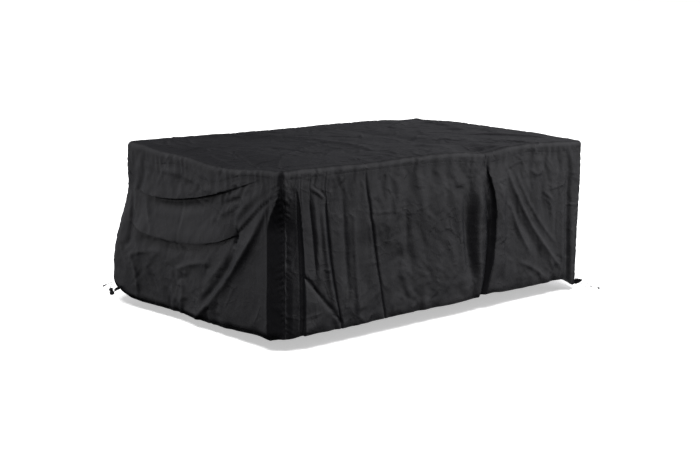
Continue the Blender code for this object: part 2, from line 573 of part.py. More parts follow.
def top_grid(columns):
    """Outer face of the top panel; its rim is the side panels' upper edge."""
    nx = LONG_STEPS
    ny = SHORT_STEPS
    grid = np.zeros((nx + 1, ny + 1, 3))
    front_s, back_s = columns["front"], columns["back"]
    left_s, right_s = columns["left"], columns["right"]
    bend = [None, math.radians(70.0), math.radians(30.0), 0.0]

    def spoke(side, s, layer, turn_share):
        """A rim point: layer 0 is the seam, layer RIM the start of the flat top."""
        if layer == 0:
            h = seam_depth(side, np.array([s]))
            return side_point(side, np.array([s]), h)[0]
        angle = bend[layer]
        straight = side.half - CORNER_RADIUS
        sign = math.copysign(1.0, s)
        radius = CORNER_RADIUS - EDGE_RADIUS * (1.0 - math.sin(angle))
        if abs(s) <= straight + 1e-9:
            run, stand = s, side.reach - CORNER_RADIUS + radius
        else:
            turn = turn_share * math.pi / 4.0
            run = sign * (straight + radius * math.sin(turn))
            stand = side.reach - CORNER_RADIUS + radius * math.cos(turn)
        x = side.along[0] * run + side.outward[0] * stand
        y = side.along[1] * run + side.outward[1] * stand
        drop = EDGE_RADIUS * (1.0 - math.cos(angle))
        height = top_height(np.array([x]), np.array([y]))[0]
        return np.array([x, y, TOP_LIFT + height - drop])

    for i in range(nx + 1):
        for layer in range(RIM + 1):
            if layer <= i <= nx - layer:
                edge = min(i, nx - i)
                share = (RIM - edge) / (RIM - layer) if edge < RIM else 0.0
                grid[i, layer] = spoke(SIDES["front"], front_s[i], layer, share)
                grid[i, ny - layer] = spoke(SIDES["back"], back_s[i], layer, share)
    for j in range(ny + 1):
        for layer in range(RIM + 1):
            if layer <= j <= ny - layer:
                edge = min(j, ny - j)
                share = (RIM - edge) / (RIM - layer) if edge < RIM else 0.0
                grid[layer, j] = spoke(SIDES["left"], left_s[j], layer, share)
                grid[nx - layer, j] = spoke(SIDES["right"], right_s[j], layer, share)

    low, high_x, high_y = RIM, nx - RIM, ny - RIM
    for i in range(low + 1, high_x):
        u = (i - low) / (high_x - low)
        for j in range(low + 1, high_y):
            w = (j - low) / (high_y - low)
            x = grid[i, low, 0] * (1 - w) + grid[i, high_y, 0] * w
            y = grid[low, j, 1] * (1 - u) + grid[high_x, j, 1] * u
            grid[i, j, :2] = x, y
    inside = grid[low + 1:high_x, low + 1:high_y]
    inside[..., 2] = TOP_LIFT + top_height(inside[..., 0], inside[..., 1])
    return grid


# ---------------------------------------------------------------- sheets from grids
def quads(grid_shape, flip):
    """Corner indices of every cell of a grid, facing out."""
    n, m = grid_shape
    index = np.arange(n * m).reshape(n, m)
    cells = np.stack([index[:-1, :-1], index[1:, :-1], index[1:, 1:], index[:-1, 1:]], axis=-1)
    cells = cells.reshape(-1, 4)
    return cells[:, ::-1] if flip else cells


def split(cells, points):
    """Two triangles for each cell, cut along its shorter diagonal."""
    one = np.linalg.norm(points[cells[:, 0]] - points[cells[:, 2]], axis=1)
    two = np.linalg.norm(points[cells[:, 1]] - points[cells[:, 3]], axis=1)
    short = (one <= two)[:, None]
    first = np.where(short, cells[:, [0, 1, 2]], cells[:, [0, 1, 3]])
    second = np.where(short, cells[:, [0, 2, 3]], cells[:, [1, 2, 3]])
    return np.concatenate([first, second])


def shared_normals(grids, triangles):
    """Normals of all the panels as if they were one cloth, so that seams line up."""
    points = np.concatenate([grids[name].reshape(-1, 3) for name in grids])
    keys = np.round(points / 0.0002).astype(np.int64)
    _, owner = np.unique(keys, axis=0, return_inverse=True)
    owner = owner.reshape(-1)
    total = np.zeros((owner.max() + 1, 3))
    start = 0
    for name in grids:
        tris = triangles[name] + start
        corner = points[tris]
        face = np.cross(corner[:, 1] - corner[:, 0], corner[:, 2] - corner[:, 0])
        for k in range(3):
            np.add.at(total, owner[tris[:, k]], face)
        start += grids[name].reshape(-1, 3).shape[0]
    normals = total[owner]
    normals /= np.linalg.norm(normals, axis=1)[:, None]
    result = {}
    start = 0
    for name in grids:
        count = grids[name].reshape(-1, 3).shape[0]
        result[name] = normals[start:start + count].reshape(grids[name].shape)
        start += count
    return result


def draw_in(grid, edges):
    """Move the named edges of a grid inwards by half a seam gap."""
    moved = grid.copy()
    for edge in edges:
        if edge == "i0":
            step = grid[1] - grid[0]
            moved[0] += 0.5 * SEAM_GAP * step / np.linalg.norm(step, axis=-1)[:, None]
        elif edge == "i1":
            step = grid[-2] - grid[-1]
            moved[-1] += 0.5 * SEAM_GAP * step / np.linalg.norm(step, axis=-1)[:, None]
        elif edge == "j0":
            step = grid[:, 1] - grid[:, 0]
            moved[:, 0] += 0.5 * SEAM_GAP * step / np.linalg.norm(step, axis=-1)[:, None]
        else:
            step = grid[:, -2] - grid[:, -1]
            moved[:, -1] += 0.5 * SEAM_GAP * step / np.linalg.norm(step, axis=-1)[:, None]
    return moved


def sheet(name, grid, normals, tris, edges, material):
    """A closed sheet, CLOTH thick, from the grid of its outer face."""
    n, m = grid.shape[:2]
    outer = draw_in(grid, edges).reshape(-1, 3)
    inner = outer - CLOTH * normals.reshape(-1, 3)
    count = n * m
    index = np.arange(count).reshape(n, m)
    loop = np.concatenate([index[:, 0], index[-1, 1:], index[-2::-1, -1], index[0, -2:0:-1]])
    ahead = np.roll(loop, -1)
    edge_set = set()
    for a, b, c in tris:
        edge_set.update([(a, b), (b, c), (c, a)])
    faces = [tuple(int(v) for v in tri) for tri in tris]
    faces += [tuple(int(v) + count for v in tri[::-1]) for tri in tris]
    for a, b in zip(loop, ahead):
        a, b = int(a), int(b)
        if (a, b) in edge_set:
            a, b = b, a
        faces.append((a, b, b + count))
        faces.append((a, b + count, a + count))
    mesh = bpy.data.meshes.new(name)
    mesh.from_pydata(np.concatenate([outer, inner]).tolist(), [], faces)
    mesh.update()
    mesh.shade_smooth()
    mesh.set_sharp_from_angle(angle=math.radians(40.0))
    thing = bpy.data.objects.new(name, mesh)
    thing.data.materials.append(material)
    bpy.context.scene.collection.objects.link(thing)
    return thing


# ---------------------------------------------------------------- cord and its fittings
CORD_RADIUS = 0.0015
LEFT_TAB_CLEAR = 0.0010  # clearance between a tab's root and the hem
RIGHT_TAB_CLEAR = 0.0005
END_GAP = 0.0004         # clearance between a cord and what it runs into

# A place by a hem corner: out from the corner along the ground, side towards the long
# side's middle, up; all from the anchor on the hem.
Place = namedtuple("Place", "out side up")
# A cross-section of a folded tab of the hem: how far out, and its centre and half sizes.
Section = namedtuple("Section", "out up half_height half_thick")

LEFT_TAB = [
    Section(0.0000, 0.000, 0.007, 0.0015),
    Section(0.0060, -0.001, 0.011, 0.0035),
    Section(0.0160, -0.005, 0.011, 0.0035),
    Section(0.0300, -0.012, 0.010, 0.0035),
    Section(0.0420, -0.020, 0.008, 0.0030),
]
RIGHT_TAB = [
    Section(0.0000, 0.000, 0.0100, 0.0015),
    Section(0.0060, 0.000, 0.0185, 0.0035),
    Section(0.0170, 0.001, 0.0180, 0.0040),
    Section(0.0300, 0.003, 0.0140, 0.0040),
    Section(0.0440, 0.007, 0.0080, 0.0035),
    Section(0.0530, 0.010, 0.0025, 0.0020),
]
LOCK_CENTRE = Place(0.058, 0.000, -0.024)
LOCK_LEAN = (0.25, 0.0, 1.0)
LOCK_BARREL = [(-0.0210, 0.0075), (-0.0190, 0.0120), (-0.0100, 0.0145), (0.0010, 0.0120), (0.0030, 0.0090)]
LOCK_BUTTON = [(0.0034, 0.0075), (0.0060, 0.0110), (0.0140, 0.0130), (0.0190, 0.0105), (0.0205, 0.0060)]
LEFT_CORD = [
    Place(0.0631, 0.000, -0.0036),
    Place(0.0641, 0.000, 0.0006),
    Place(0.0625, 0.002, 0.0090),
    Place(0.0545, 0.004, 0.0220),
    Place(0.0590, 0.003, 0.0310),
    Place(0.0730, 0.001, 0.0250),
    Place(0.0850, 0.000, 0.0200),
]
RIGHT_CORD_IN = [
    Place(0.0340, 0.0, -0.0098),
    Place(0.0430, 0.0, -0.0135),
    Place(0.0580, 0.0, -0.0190),
    Place(0.0690, 0.0, -0.0260),
    Place(0.0760, 0.0, -0.0370),
    Place(0.0860, 0.0, -0.0395),
    Place(0.0975, 0.0, -0.0352),
    Place(0.1043, 0.0, -0.0318),
]
RIGHT_CORD_OUT = [
    Place(0.1138, 0.0, -0.0304),
    Place(0.1210, 0.0, -0.0295),
    Place(0.1310, 0.0, -0.0295),
    Place(0.1410, 0.0, -0.0315),
    Place(0.1490, 0.0, -0.0360),
]
RIGHT_CORD_TAIL = [
    Place(0.1055, 0.0, -0.0278),
    Place(0.0980, 0.0, -0.0210),
    Place(0.0890, 0.0, -0.0155),
    Place(0.0830, 0.0, -0.0120),
    Place(0.0815, 0.0, -0.0060),
    Place(0.0850, 0.0, 0.0035),
]
KNOT_CENTRE = Place(0.1090, 0.0, -0.0308)
KNOT = [(-0.0042, 0.0014), (-0.0034, 0.0028), (0.0, 0.0038), (0.0034, 0.0028), (0.0042, 0.0014)]
CORD_END = [(0.0, 0.0022), (0.0030, 0.0030), (0.0200, 0.0050), (0.0240, 0.0048), (0.0260, 0.0030)]
KNOB_END = [(0.0, 0.0022), (0.0020, 0.0032), (0.0100, 0.0066), (0.0135, 0.0066), (0.0155, 0.0045)]


def smooth_route(route, spacing):
    """Points at even spacing on the smooth curve through the route's points."""
    points = [Vector(p) for p in route]
    ends = [points[0] * 2 - points[1]] + points + [points[-1] * 2 - points[-2]]
    fine = []
    for k in range(1, len(ends) - 2):
        p0, p1, p2, p3 = ends[k - 1], ends[k], ends[k + 1], ends[k + 2]
        for step in range(24):
            t = step / 24.0
            fine.append(0.5 * (2 * p1 + (p2 - p0) * t + (2 * p0 - 5 * p1 + 4 * p2 - p3) * t * t
                               + (3 * p1 - p0 - 3 * p2 + p3) * t ** 3))
    fine.append(points[-1])
    length = [0.0]
    for a, b in zip(fine, fine[1:]):
        length.append(length[-1] + (b - a).length)
    count = max(int(round(length[-1] / spacing)), 2)
    even = []
    for k in range(count + 1):
        target = length[-1] * k / count
        even.append([float(np.interp(target, length, [p[axis] for p in fine])) for axis in range(3)])
    return even


def cord(name, points, radius, material):
    """A round cord along the points, with closed ends."""
    curve = bpy.data.curves.new(name, "CURVE")
    curve.dimensions = "3D"
    curve.bevel_depth = radius
    curve.bevel_resolution = 2
    curve.use_fill_caps = True
    spline = curve.splines.new("POLY")
    spline.points.add(len(points) - 1)
    for target, place in zip(spline.points, points):
        target.co = (*place, 1.0)
    curve.materials.append(material)
    thing = bpy.data.objects.new(name, curve)
    bpy.context.scene.collection.objects.link(thing)
    return thing


def turned(name, profile, place, axis, material, segments=14):
    """A body of revolution: profile rows are (distance along the axis, radius)."""
    verts, faces = [], []
    for along, radius in profile:
        for k in range(segments):
            angle = 2.0 * math.pi * k / segments
            verts.append((radius * math.cos(angle), radius * math.sin(angle), along))
    for row in range(len(profile) - 1):
        for k in range(segments):
            a = row * segments + k
            b = row * segments + (k + 1) % segments
            faces.append((a, b, b + segments, a + segments))
    last = (len(profile) - 1) * segments
    faces.append(tuple(range(segments - 1, -1, -1)))
    faces.append(tuple(range(last, last + segments)))
    mesh = bpy.data.meshes.new(name)
    mesh.from_pydata(verts, [], faces)
    mesh.update()
    mesh.shade_smooth()
    mesh.set_sharp_from_angle(angle=math.radians(40.0))
    thing = bpy.data.objects.new(name, mesh)
    thing.data.materials.append(material)
    thing.location = place
    thing.rotation_mode = "QUATERNION"
    thing.rotation_quaternion = Vector(axis).to_track_quat("Z", "Y")
    bpy.context.scene.collection.objects.link(thing)
    return thing


def tab(name, sections, anchor, out, material, segments=12):
    """A folded tab of the hem: oval sections one after the other, closed at both ends."""
    side = Vector((out.y, -out.x, 0.0))
    up = Vector((0.0, 0.0, 1.0))
    verts, faces = [], []
    for section in sections:
        for k in range(segments):
            angle = 2.0 * math.pi * k / segments
            lift = section.up + section.half_height * math.sin(angle)
            thick = section.half_thick * math.cos(angle)
            verts.append(anchor + out * section.out + up * lift + side * thick)
    for row in range(len(sections) - 1):
        for k in range(segments):
            a = row * segments + k
            b = row * segments + (k + 1) % segments
            faces.append((a, a + segments, b + segments, b))
    last = (len(sections) - 1) * segments
    faces.append(tuple(range(segments)))
    faces.append(tuple(range(last + segments - 1, last - 1, -1)))
    mesh = bpy.data.meshes.new(name)
    mesh.from_pydata([tuple(v) for v in verts], [], faces)
    mesh.update()
    mesh.shade_smooth()
    mesh.set_sharp_from_angle(angle=math.radians(40.0))
    thing = bpy.data.objects.new(name, mesh)
    thing.data.materials.append(material)
    bpy.context.scene.collection.objects.link(thing)
    return thing


def world(anchor, out, place):
    """World place of a Place beside an anchor."""
    side = Vector((out.y, -out.x, 0.0))
    return anchor + out * place.out + side * place.side + Vector((0.0, 0.0, place.up))


def hem_fittings():
    """Tabs, cords, knot, lock and cord ends at the two hem corners."""
    black = (0.012, 0.012, 0.013)
    left_out = Vector((-0.90, 0.44, 0.0)).normalized()
    right_out = Vector((1.0, -1.0, 0.0)).normalized()
    side = SIDES["left"]
    s = np.array([side.half - 0.130])
    anchor = Vector(side_point(side, s, hem_depth(side, s) - 0.028)[0])
    left = anchor + left_out * LEFT_TAB_CLEAR
    side = SIDES["front"]
    s = np.array([side.half - CORNER_RADIUS + CORNER_RADIUS * math.pi / 4.0])
    anchor = Vector(side_point(side, s, hem_depth(side, s) - 0.010)[0])
    right = anchor + right_out * RIGHT_TAB_CLEAR

    tab("left_hem_tab", LEFT_TAB, left, left_out, plain_material("left_tab_cloth", black, 0.6))
    tab("right_hem_tab", RIGHT_TAB, right, right_out, plain_material("right_tab_cloth", black, 0.6))

    lean = Vector((LOCK_LEAN[0] * left_out.x, LOCK_LEAN[0] * left_out.y, LOCK_LEAN[2]))
    centre = world(left, left_out, LOCK_CENTRE)
    turned("lock_barrel", LOCK_BARREL, centre, lean, plain_material("lock_barrel_plastic", black, 0.35))
    turned("lock_button", LOCK_BUTTON, centre, lean, plain_material("lock_button_plastic", black, 0.35))

    routes = {
        "left_cord": [world(left, left_out, place) for place in LEFT_CORD],
        "right_cord_in": [world(right, right_out, place) for place in RIGHT_CORD_IN],
        "right_cord_out": [world(right, right_out, place) for place in RIGHT_CORD_OUT],
        "right_cord_tail": [world(right, right_out, place) for place in RIGHT_CORD_TAIL],
    }
    for name, route in routes.items():
        points = smooth_route(route, 2.2 * 2.0 * CORD_RADIUS)
        cord(name, points, CORD_RADIUS, plain_material(name + "_braid", (0.05, 0.05, 0.055), 0.7))
        if name in ("left_cord", "right_cord_out"):
            tip = Vector(points[-1])
            ahead = (tip - Vector(points[-2])).normalized()
            profile = CORD_END if name == "left_cord" else KNOB_END
            end_name = "left_cord_end" if name == "left_cord" else "right_cord_end"
            turned(end_name, profile, tip + ahead * END_GAP, ahead, plain_material(end_name + "_plastic", black, 0.4))
    turned("right_knot", KNOT, world(right, right_out, KNOT_CENTRE), right_out,
           plain_material("right_knot_braid", (0.05, 0.05, 0.055), 0.7))


def plain_material(name, colour, roughness):
    """A Principled material of one colour."""
    material = bpy.data.materials.new(name)
    material.use_nodes = True
    shader = material.node_tree.nodes["Principled BSDF"]
    shader.inputs["Base Color"].default_value = (*colour, 1.0)
    shader.inputs["Roughness"].default_value = roughness
    shader.inputs["Metallic"].default_value = 0.0
    return material


def build():
    for thing in list(bpy.data.objects):
        bpy.data.objects.remove(thing, do_unlink=True)

    grids, columns = {}, {}
    for name, side in SIDES.items():
        s, h = side_grid(side)
        columns[name] = s[:, 0]
        grids[name] = side_point(side, s, h)
    grids["top"] = top_grid(columns)

    flips = {"front": False, "right": False, "back": True, "left": True, "top": False}
    triangles = {}
    for name, grid in grids.items():
        cells = quads(grid.shape[:2], not flips[name] if name != "top" else False)
        triangles[name] = split(cells, grid.reshape(-1, 3))
    normals = shared_normals(grids, triangles)
    for name in ("top", "front", "back", "left", "right"):
        edges = ["i0", "i1", "j0"] + (["j1"] if name == "top" else [])
        material = plain_material(name + "_cloth", (0.022, 0.022, 0.025), 0.55)
        sheet(name + "_panel", grids[name], normals[name], triangles[name], edges, material)
    hem_fittings()


build()
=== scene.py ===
import math
from collections import namedtuple

import bpy
import numpy as np
from bpy.props import FloatProperty, FloatVectorProperty, PointerProperty
from mathutils import Matrix, Vector
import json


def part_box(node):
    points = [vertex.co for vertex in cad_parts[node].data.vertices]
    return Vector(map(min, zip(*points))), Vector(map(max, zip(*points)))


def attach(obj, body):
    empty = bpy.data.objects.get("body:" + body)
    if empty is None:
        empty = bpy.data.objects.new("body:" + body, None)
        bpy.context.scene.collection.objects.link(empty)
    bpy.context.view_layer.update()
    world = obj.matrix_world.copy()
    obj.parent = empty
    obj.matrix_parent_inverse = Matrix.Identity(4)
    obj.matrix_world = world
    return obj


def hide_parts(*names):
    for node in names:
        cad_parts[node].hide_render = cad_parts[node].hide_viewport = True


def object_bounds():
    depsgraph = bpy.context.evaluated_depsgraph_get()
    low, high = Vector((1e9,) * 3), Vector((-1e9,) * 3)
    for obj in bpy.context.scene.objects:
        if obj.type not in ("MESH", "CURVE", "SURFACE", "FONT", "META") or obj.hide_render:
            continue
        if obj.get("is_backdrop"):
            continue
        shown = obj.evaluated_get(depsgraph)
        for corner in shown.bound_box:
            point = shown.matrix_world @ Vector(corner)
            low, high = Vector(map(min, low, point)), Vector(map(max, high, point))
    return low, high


bl_info = {
    "name": "Patio Furniture Cover",
    "version": (1, 0, 0),
    "blender": (4, 5, 0),
    "location": "View3D > Sidebar > Cover",
    "description": "Dresses the solids of a fitted patio cover in creased cloth, cords and fittings",
    "category": "Object",
}

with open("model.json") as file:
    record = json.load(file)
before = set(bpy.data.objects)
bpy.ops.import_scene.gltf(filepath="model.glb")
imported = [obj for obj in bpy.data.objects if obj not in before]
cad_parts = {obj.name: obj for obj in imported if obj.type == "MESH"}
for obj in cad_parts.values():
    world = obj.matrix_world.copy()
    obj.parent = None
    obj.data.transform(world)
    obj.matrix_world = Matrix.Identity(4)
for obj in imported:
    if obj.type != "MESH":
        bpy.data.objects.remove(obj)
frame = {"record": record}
SLOT_COLOUR = {row["slot"]: tuple(row["base_color"]) for row in frame["record"]["materials"]}

# ---------------------------------------------------------------- sizes (metres)
LENGTH = 2.37            # long side of the top
WIDTH = 1.51             # short side of the top
DROP = 0.885             # top to hem, in the middle of a side
TOP_LIFT = 0.006         # outer face of the flat top above the origin
EDGE_RADIUS = 0.026      # rounding of the cloth over the top edge
CORNER_RADIUS = 0.030    # rounding of the four upright corners
HALF_X = LENGTH / 2.0
HALF_Y = WIDTH / 2.0
# A corner's seam lies an eighth of a turn past the straight: how much shorter the way round to
# it is than to the sharp corner, and how far it lies in from there along x and y.
CORNER_CUT = CORNER_RADIUS * (1.0 - math.pi / 4.0)
CORNER_INSET = CORNER_RADIUS * (1.0 - math.sqrt(0.5))

# Cells of the panels' grids.
LONG_CELLS = 280         # along a long side, both rounded corners included
SHORT_CELLS = 176        # along a short side, both rounded corners included
ROWS = 96                # from the seam to the hem
RIM = 10                 # between the seam and the flat top, and round a corner
RIM_UPRIGHT = 5          # of those, the ones on the upright part above the seam

# ---------------------------------------------------------------- folds
# A fold follows a smooth line through three points of its panel: s along the panel, h
# down from the top; on the top panel s is x and h is y.  out_* is how far the cloth
# stands out (+) or in (-) there, wide is its half width, and far the one on the other
# hand, left out when both are alike (the first hand is on the left of a line that goes up).
# Every number of a row is in millimetres.
# Kinds: ridge is a round swell or hollow, crease is sharp, lap hangs over the cloth beside
# it on the other hand, and line only marks where the cloth is folded by the tuck.
Fold = namedtuple("Fold", "name kind s0 h0 s1 h1 s2 h2 out_0 out_1 out_2 wide far", defaults=(0,))


def in_metres(rows):
    """Rows of millimetres as rows of metres; their words stay."""
    return [row._make(v if isinstance(v, str) else v / 1000.0 for v in row) for row in rows]


FRONT_FOLDS = in_metres([
    Fold("tuck_lip", "line", -1028, 900, -1031, 420, -1080, 100, 0, 0, 0, 0),
    Fold("tuck_back", "line", -1064, 900, -1064, 420, -1085, 110, 0, 0, 0, 0),
    Fold("back_line", "crease", -1064, 900, -1064, 420, -1085, 110, -3, -4, -3, 4, 4),
    Fold("second_pleat", "crease", -958.8, 580, -968, 373, -1004, 130, -2, -9, -5, 10, 4.5),
    Fold("second_swell", "ridge", -935, 660, -945, 373, -978, 140, 3, 6, 4, 16),
    Fold("third_pleat", "crease", -780, 900, -852, 500, -892, 150, -5, -10, -10, 12, 5),
    Fold("third_swell", "ridge", -800, 880, -880, 500, -916, 190, 3, 8, 5, 20),
    Fold("pleat_cap", "ridge", -1010, 100, -955, 124, -903, 166, 1, 6, 5, 10),
    Fold("cap_groove", "crease", -985, 100, -940, 120, -893, 160, -1, -5, -7, 5),
    Fold("diagonal", "crease", -1048, 540, -922, 688, -785, 845, -12, -12, -9, 6, 9),
    Fold("short_crease", "crease", -777, 114, -762, 340, -725, 790, -3, -7, -5, 10, 18),
    Fold("soft_ridge", "crease", -700, 240, -690, 500, -660, 840, 3, 6, 5, 14),
    Fold("fourth_pleat", "crease", -460, 930, -545, 480, -622, 80, -2, -5, -4, 12, 5),
    Fold("packing_crease", "crease", -640, 262, -500, 282, -340, 292, 2, 6, 4, 12),
    Fold("packing_upright", "crease", -325, 220, -318, 360, -313, 500, -2, -6, -2, 10, 16),
    Fold("shoulder", "ridge", -300, 260, -50, 205, 200, 155, 2, 7, 5, 30),
    Fold("upper_roll", "ridge", -750, 290, 150, 300, 1050, 280, 10, 10, 10, 120),
    Fold("wide_trough", "ridge", 215, 780, 165, 500, 140, 220, -6, -18, -6, 30, 50),
    Fold("bulge", "ridge", 270, 840, 255, 500, 250, 180, 6, 16, 6, 45),
    Fold("slit_hollow", "crease", 262, 950, 350, 600, 300, 220, -26, -34, -10, 7, 16),
    Fold("slit", "lap", 305, 80, 395, 500, 278, 970, 10, 24, 18, 100),
    Fold("fan_ridge", "crease", 450, 60, 660, 420, 1030, 820, 4, 10, 6, 14, 30),
    Fold("fan_hollow", "ridge", 450, 160, 590, 420, 880, 760, -2, -5, -2, 30),
    Fold("fan_second", "crease", 500, 300, 600, 500, 740, 700, 2, 7, 3, 14),
    Fold("fan_third", "crease", 520, 100, 720, 400, 980, 660, 2, 5, 2, 16, 10),
    Fold("fan_upright", "crease", 445, 200, 460, 500, 475, 800, 2, 6, 5, 14, 24),
    Fold("v_wrinkle", "crease", 690, 140, 755, 190, 820, 150, 2, 6, 2, 12),
    Fold("right_wrinkle", "crease", 790, 285, 860, 330, 930, 370, 2, 6, 2, 14),
    Fold("hem_wrinkle", "crease", 600, 710, 720, 755, 840, 830, 2, 6, 3, 16),
    Fold("corner_strip", "ridge", 1050, 120, 1065, 500, 1080, 880, -4, -10, -8, 28),
])
LEFT_FOLDS = in_metres([
    Fold("upper_cowl", "lap", -690, 20, 70, 240, 660, 262, 0, 13, 12, 60),
    Fold("upper_sag", "ridge", -450, 150, 120, 300, 550, 310, -2, -12, -4, 30),
    Fold("lower_cowl", "lap", -405, 368, 120, 494, 660, 458, 10, 26, 12, 80),
    Fold("lower_sag", "ridge", -100, 500, 250, 540, 580, 550, -4, -16, -6, 34),
    Fold("cowl_fold", "lap", -715, 112, -535, 246, -378, 370, 3, 9, 8, 30),
    Fold("cowl_back", "ridge", -345, 300, -500, 190, -640, 95, 6, 12, 4, 26),
    Fold("pinch", "crease", -385, 345, -370, 400, -350, 450, -8, -22, -4, 8, 14),
    Fold("diagonal_ridge", "crease", -700, 110, -430, 500, -10, 920, 6, 24, 16, 60, 26),
    Fold("diagonal_hollow", "ridge", -380, 460, -240, 660, -60, 820, -6, -20, -10, 35),
    Fold("crumple_one", "crease", 640, 680, 470, 610, 300, 580, 4, 11, 5, 26, 14),
    Fold("crumple_two", "crease", 190, 670, 40, 610, -140, 570, 4, 11, 5, 26, 14),
    Fold("crumple_three", "crease", 410, 680, 370, 740, 320, 820, -3, -8, -3, 12, 22),
    Fold("crumple_four", "crease", 560, 620, 500, 720, 480, 860, 4, 10, 8, 24, 14),
    Fold("crumple_five", "crease", 120, 700, 100, 790, 120, 900, 4, 10, 8, 24, 14),
    Fold("far_fold", "crease", 680, 280, 615, 500, 600, 600, -4, -12, -4, 14, 30),
    Fold("far_streak", "crease", 530, 290, 480, 370, 420, 450, 2, 8, 2, 16),
    Fold("packing_crease", "crease", 163, 270, 164, 400, 163, 600, -2, -4, -2, 10),
    Fold("seam_roll", "ridge", 620, 115, 200, 125, -180, 170, 4, 10, 6, 20),
    Fold("shoulder_fold", "crease", 470, 22, 60, 30, -340, 80, -2, -8, -4, 12, 24),
    Fold("shoulder_streak", "crease", -100, 350, -340, 240, -600, 110, 2, 7, 2, 12),
    Fold("shoulder_streak_two", "crease", -120, 260, -340, 180, -640, 80, 2, 6, 2, 12),
])
BACK_FOLDS = in_metres([
    Fold("left_pleat", "ridge", -1000, 100, -960, 500, -930, 900, -6, -26, -30, 45),
    Fold("left_swell", "ridge", -820, 120, -800, 500, -740, 900, 6, 22, 30, 60),
    Fold("middle_hollow", "ridge", -450, 150, -420, 500, -360, 900, -4, -20, -26, 80),
    Fold("middle_swell", "ridge", -100, 200, -50, 550, 40, 900, 4, 20, 28, 70),
    Fold("swag", "ridge", -900, 80, -200, 300, 500, 100, 4, 18, 4, 50),
    Fold("right_hollow", "ridge", 400, 120, 420, 500, 340, 900, -6, -24, -26, 60),
    Fold("right_swell", "ridge", 660, 120, 680, 500, 640, 900, 6, 22, 32, 60),
    Fold("right_pleat", "ridge", 950, 100, 920, 500, 930, 900, -6, -22, -26, 50),
])
RIGHT_FOLDS = in_metres([
    Fold("cowl", "ridge", -660, 80, 0, 330, 660, 100, 6, 26, 6, 50),
    Fold("cowl_hollow", "ridge", -550, 200, 0, 440, 550, 220, -4, -18, -4, 50),
    Fold("near_pleat", "ridge", -560, 120, -520, 500, -480, 900, -6, -24, -28, 50),
    Fold("near_swell", "ridge", -300, 500, -280, 700, -220, 900, 6, 20, 30, 60),
    Fold("middle_hollow", "ridge", 60, 520, 80, 700, 100, 900, -4, -18, -24, 60),
    Fold("far_swell", "ridge", 340, 480, 330, 700, 300, 900, 6, 20, 28, 60),
    Fold("far_pleat", "ridge", 580, 120, 550, 500, 550, 900, -6, -20, -24, 45),
])
TOP_FOLDS = in_metres([
    Fold("left_dip", "ridge", -1080, 500, -800, 570, -300, 630, -26, -34, -10, 400, 110),
    Fold("ray_one", "crease", -1120, -540, -1010, -220, -880, 130, -3, -7, -3, 14, 30),
    Fold("ray_two", "crease", -630, -520, -650, -140, -710, 200, -2, -6, -2, 14, 34),
    Fold("ray_three", "crease", -420, -400, -370, 50, -480, 340, 2, 6, 2, 18, 36),
    Fold("ray_four", "crease", -1100, -640, -800, -300, -300, -50, 2, 6, 2, 16, 30),
    Fold("ray_five", "crease", -1120, -300, -1080, -50, -1050, 140, 2, 6, 2, 14, 24),
    Fold("left_edge_fold", "crease", -1130, 280, -900, 300, -600, 420, 2, 6, 2, 18, 30),
    Fold("across_one", "ridge", -350, 550, -250, 0, -300, -500, 3, 8, 3, 40),
    Fold("across_two", "ridge", 200, 550, 240, 0, 160, -500, -3, -10, -4, 60),
    Fold("edge_lens", "ridge", 100, -660, 290, -675, 480, -680, -4, -12, -4, 40),
    Fold("edge_roll", "ridge", -1050, -660, -600, -640, -200, -655, 2, 8, 3, 30),
    Fold("far_wrinkle", "ridge", 500, 300, 750, 440, 1020, 560, 3, 10, 3, 30),
    Fold("far_wrinkle_two", "ridge", 800, -100, 930, 200, 1000, 500, 3, 9, 3, 32),
    Fold("right_ray", "ridge", 1060, -620, 880, -400, 620, -200, 3, 9, 3, 30),
])

FOLD_OPEN = 0.83         # a ridge or crease that ends below this depth runs out at the hem
LAP_STEP = 0.009         # distance from a lap's lip to the line where it is tucked in
LAP_EDGE = 0.004         # how sharply the cloth turns in below the lip
LAP_UNDER = 0.30         # how far in it goes there, as a share of the lip's height
LAP_HANG = 0.35          # and how far the lip hangs over
FOLD_FADE = 0.14         # share of a fold over which an end dies out

# Short creases scattered over a part of a panel: angle is measured from along the panel
# towards down, spread is how much it varies (degrees); length is half a crease's.
Scatter = namedtuple("Scatter", "panel s_low s_high h_low h_high count angle spread length height wide")
SCATTERS = [
    Scatter("front", -0.86, 1.14, 0.06, 0.24, 64, 15, 60, 0.06, 0.0024, 0.008),
    Scatter("front", -0.86, -0.3, 0.2, 0.88, 46, 80, 35, 0.08, 0.0022, 0.009),
    Scatter("front", -0.3, 0.25, 0.25, 0.88, 55, 30, 80, 0.06, 0.0016, 0.008),
    Scatter("front", 0.42, 1.1, 0.1, 0.88, 80, 60, 50, 0.07, 0.002, 0.008),
    Scatter("front", -0.4, 0.3, 0.6, 0.9, 40, 10, 50, 0.05, 0.0022, 0.008),
    Scatter("left", -0.3, 0.7, 0.48, 0.88, 90, 30, 80, 0.055, 0.004, 0.009),
    Scatter("left", -0.6, 0.7, 0.05, 0.2, 60, 10, 60, 0.05, 0.003, 0.007),
    Scatter("left", -0.6, 0.7, 0.2, 0.48, 40, 40, 80, 0.06, 0.0026, 0.009),
    Scatter("back", -1.14, 1.14, 0.06, 0.88, 160, 70, 60, 0.07, 0.0028, 0.009),
    Scatter("right", -0.7, 0.7, 0.06, 0.88, 110, 70, 60, 0.07, 0.0028, 0.009),
    Scatter("top", -1.14, 1.14, -0.7, 0.7, 230, 0, 90, 0.12, 0.0042, 0.012),
    Scatter("top", -1.14, 1.14, -0.74, -0.6, 50, 5, 30, 0.07, 0.003, 0.009),
]
CREASE_SEED = 41
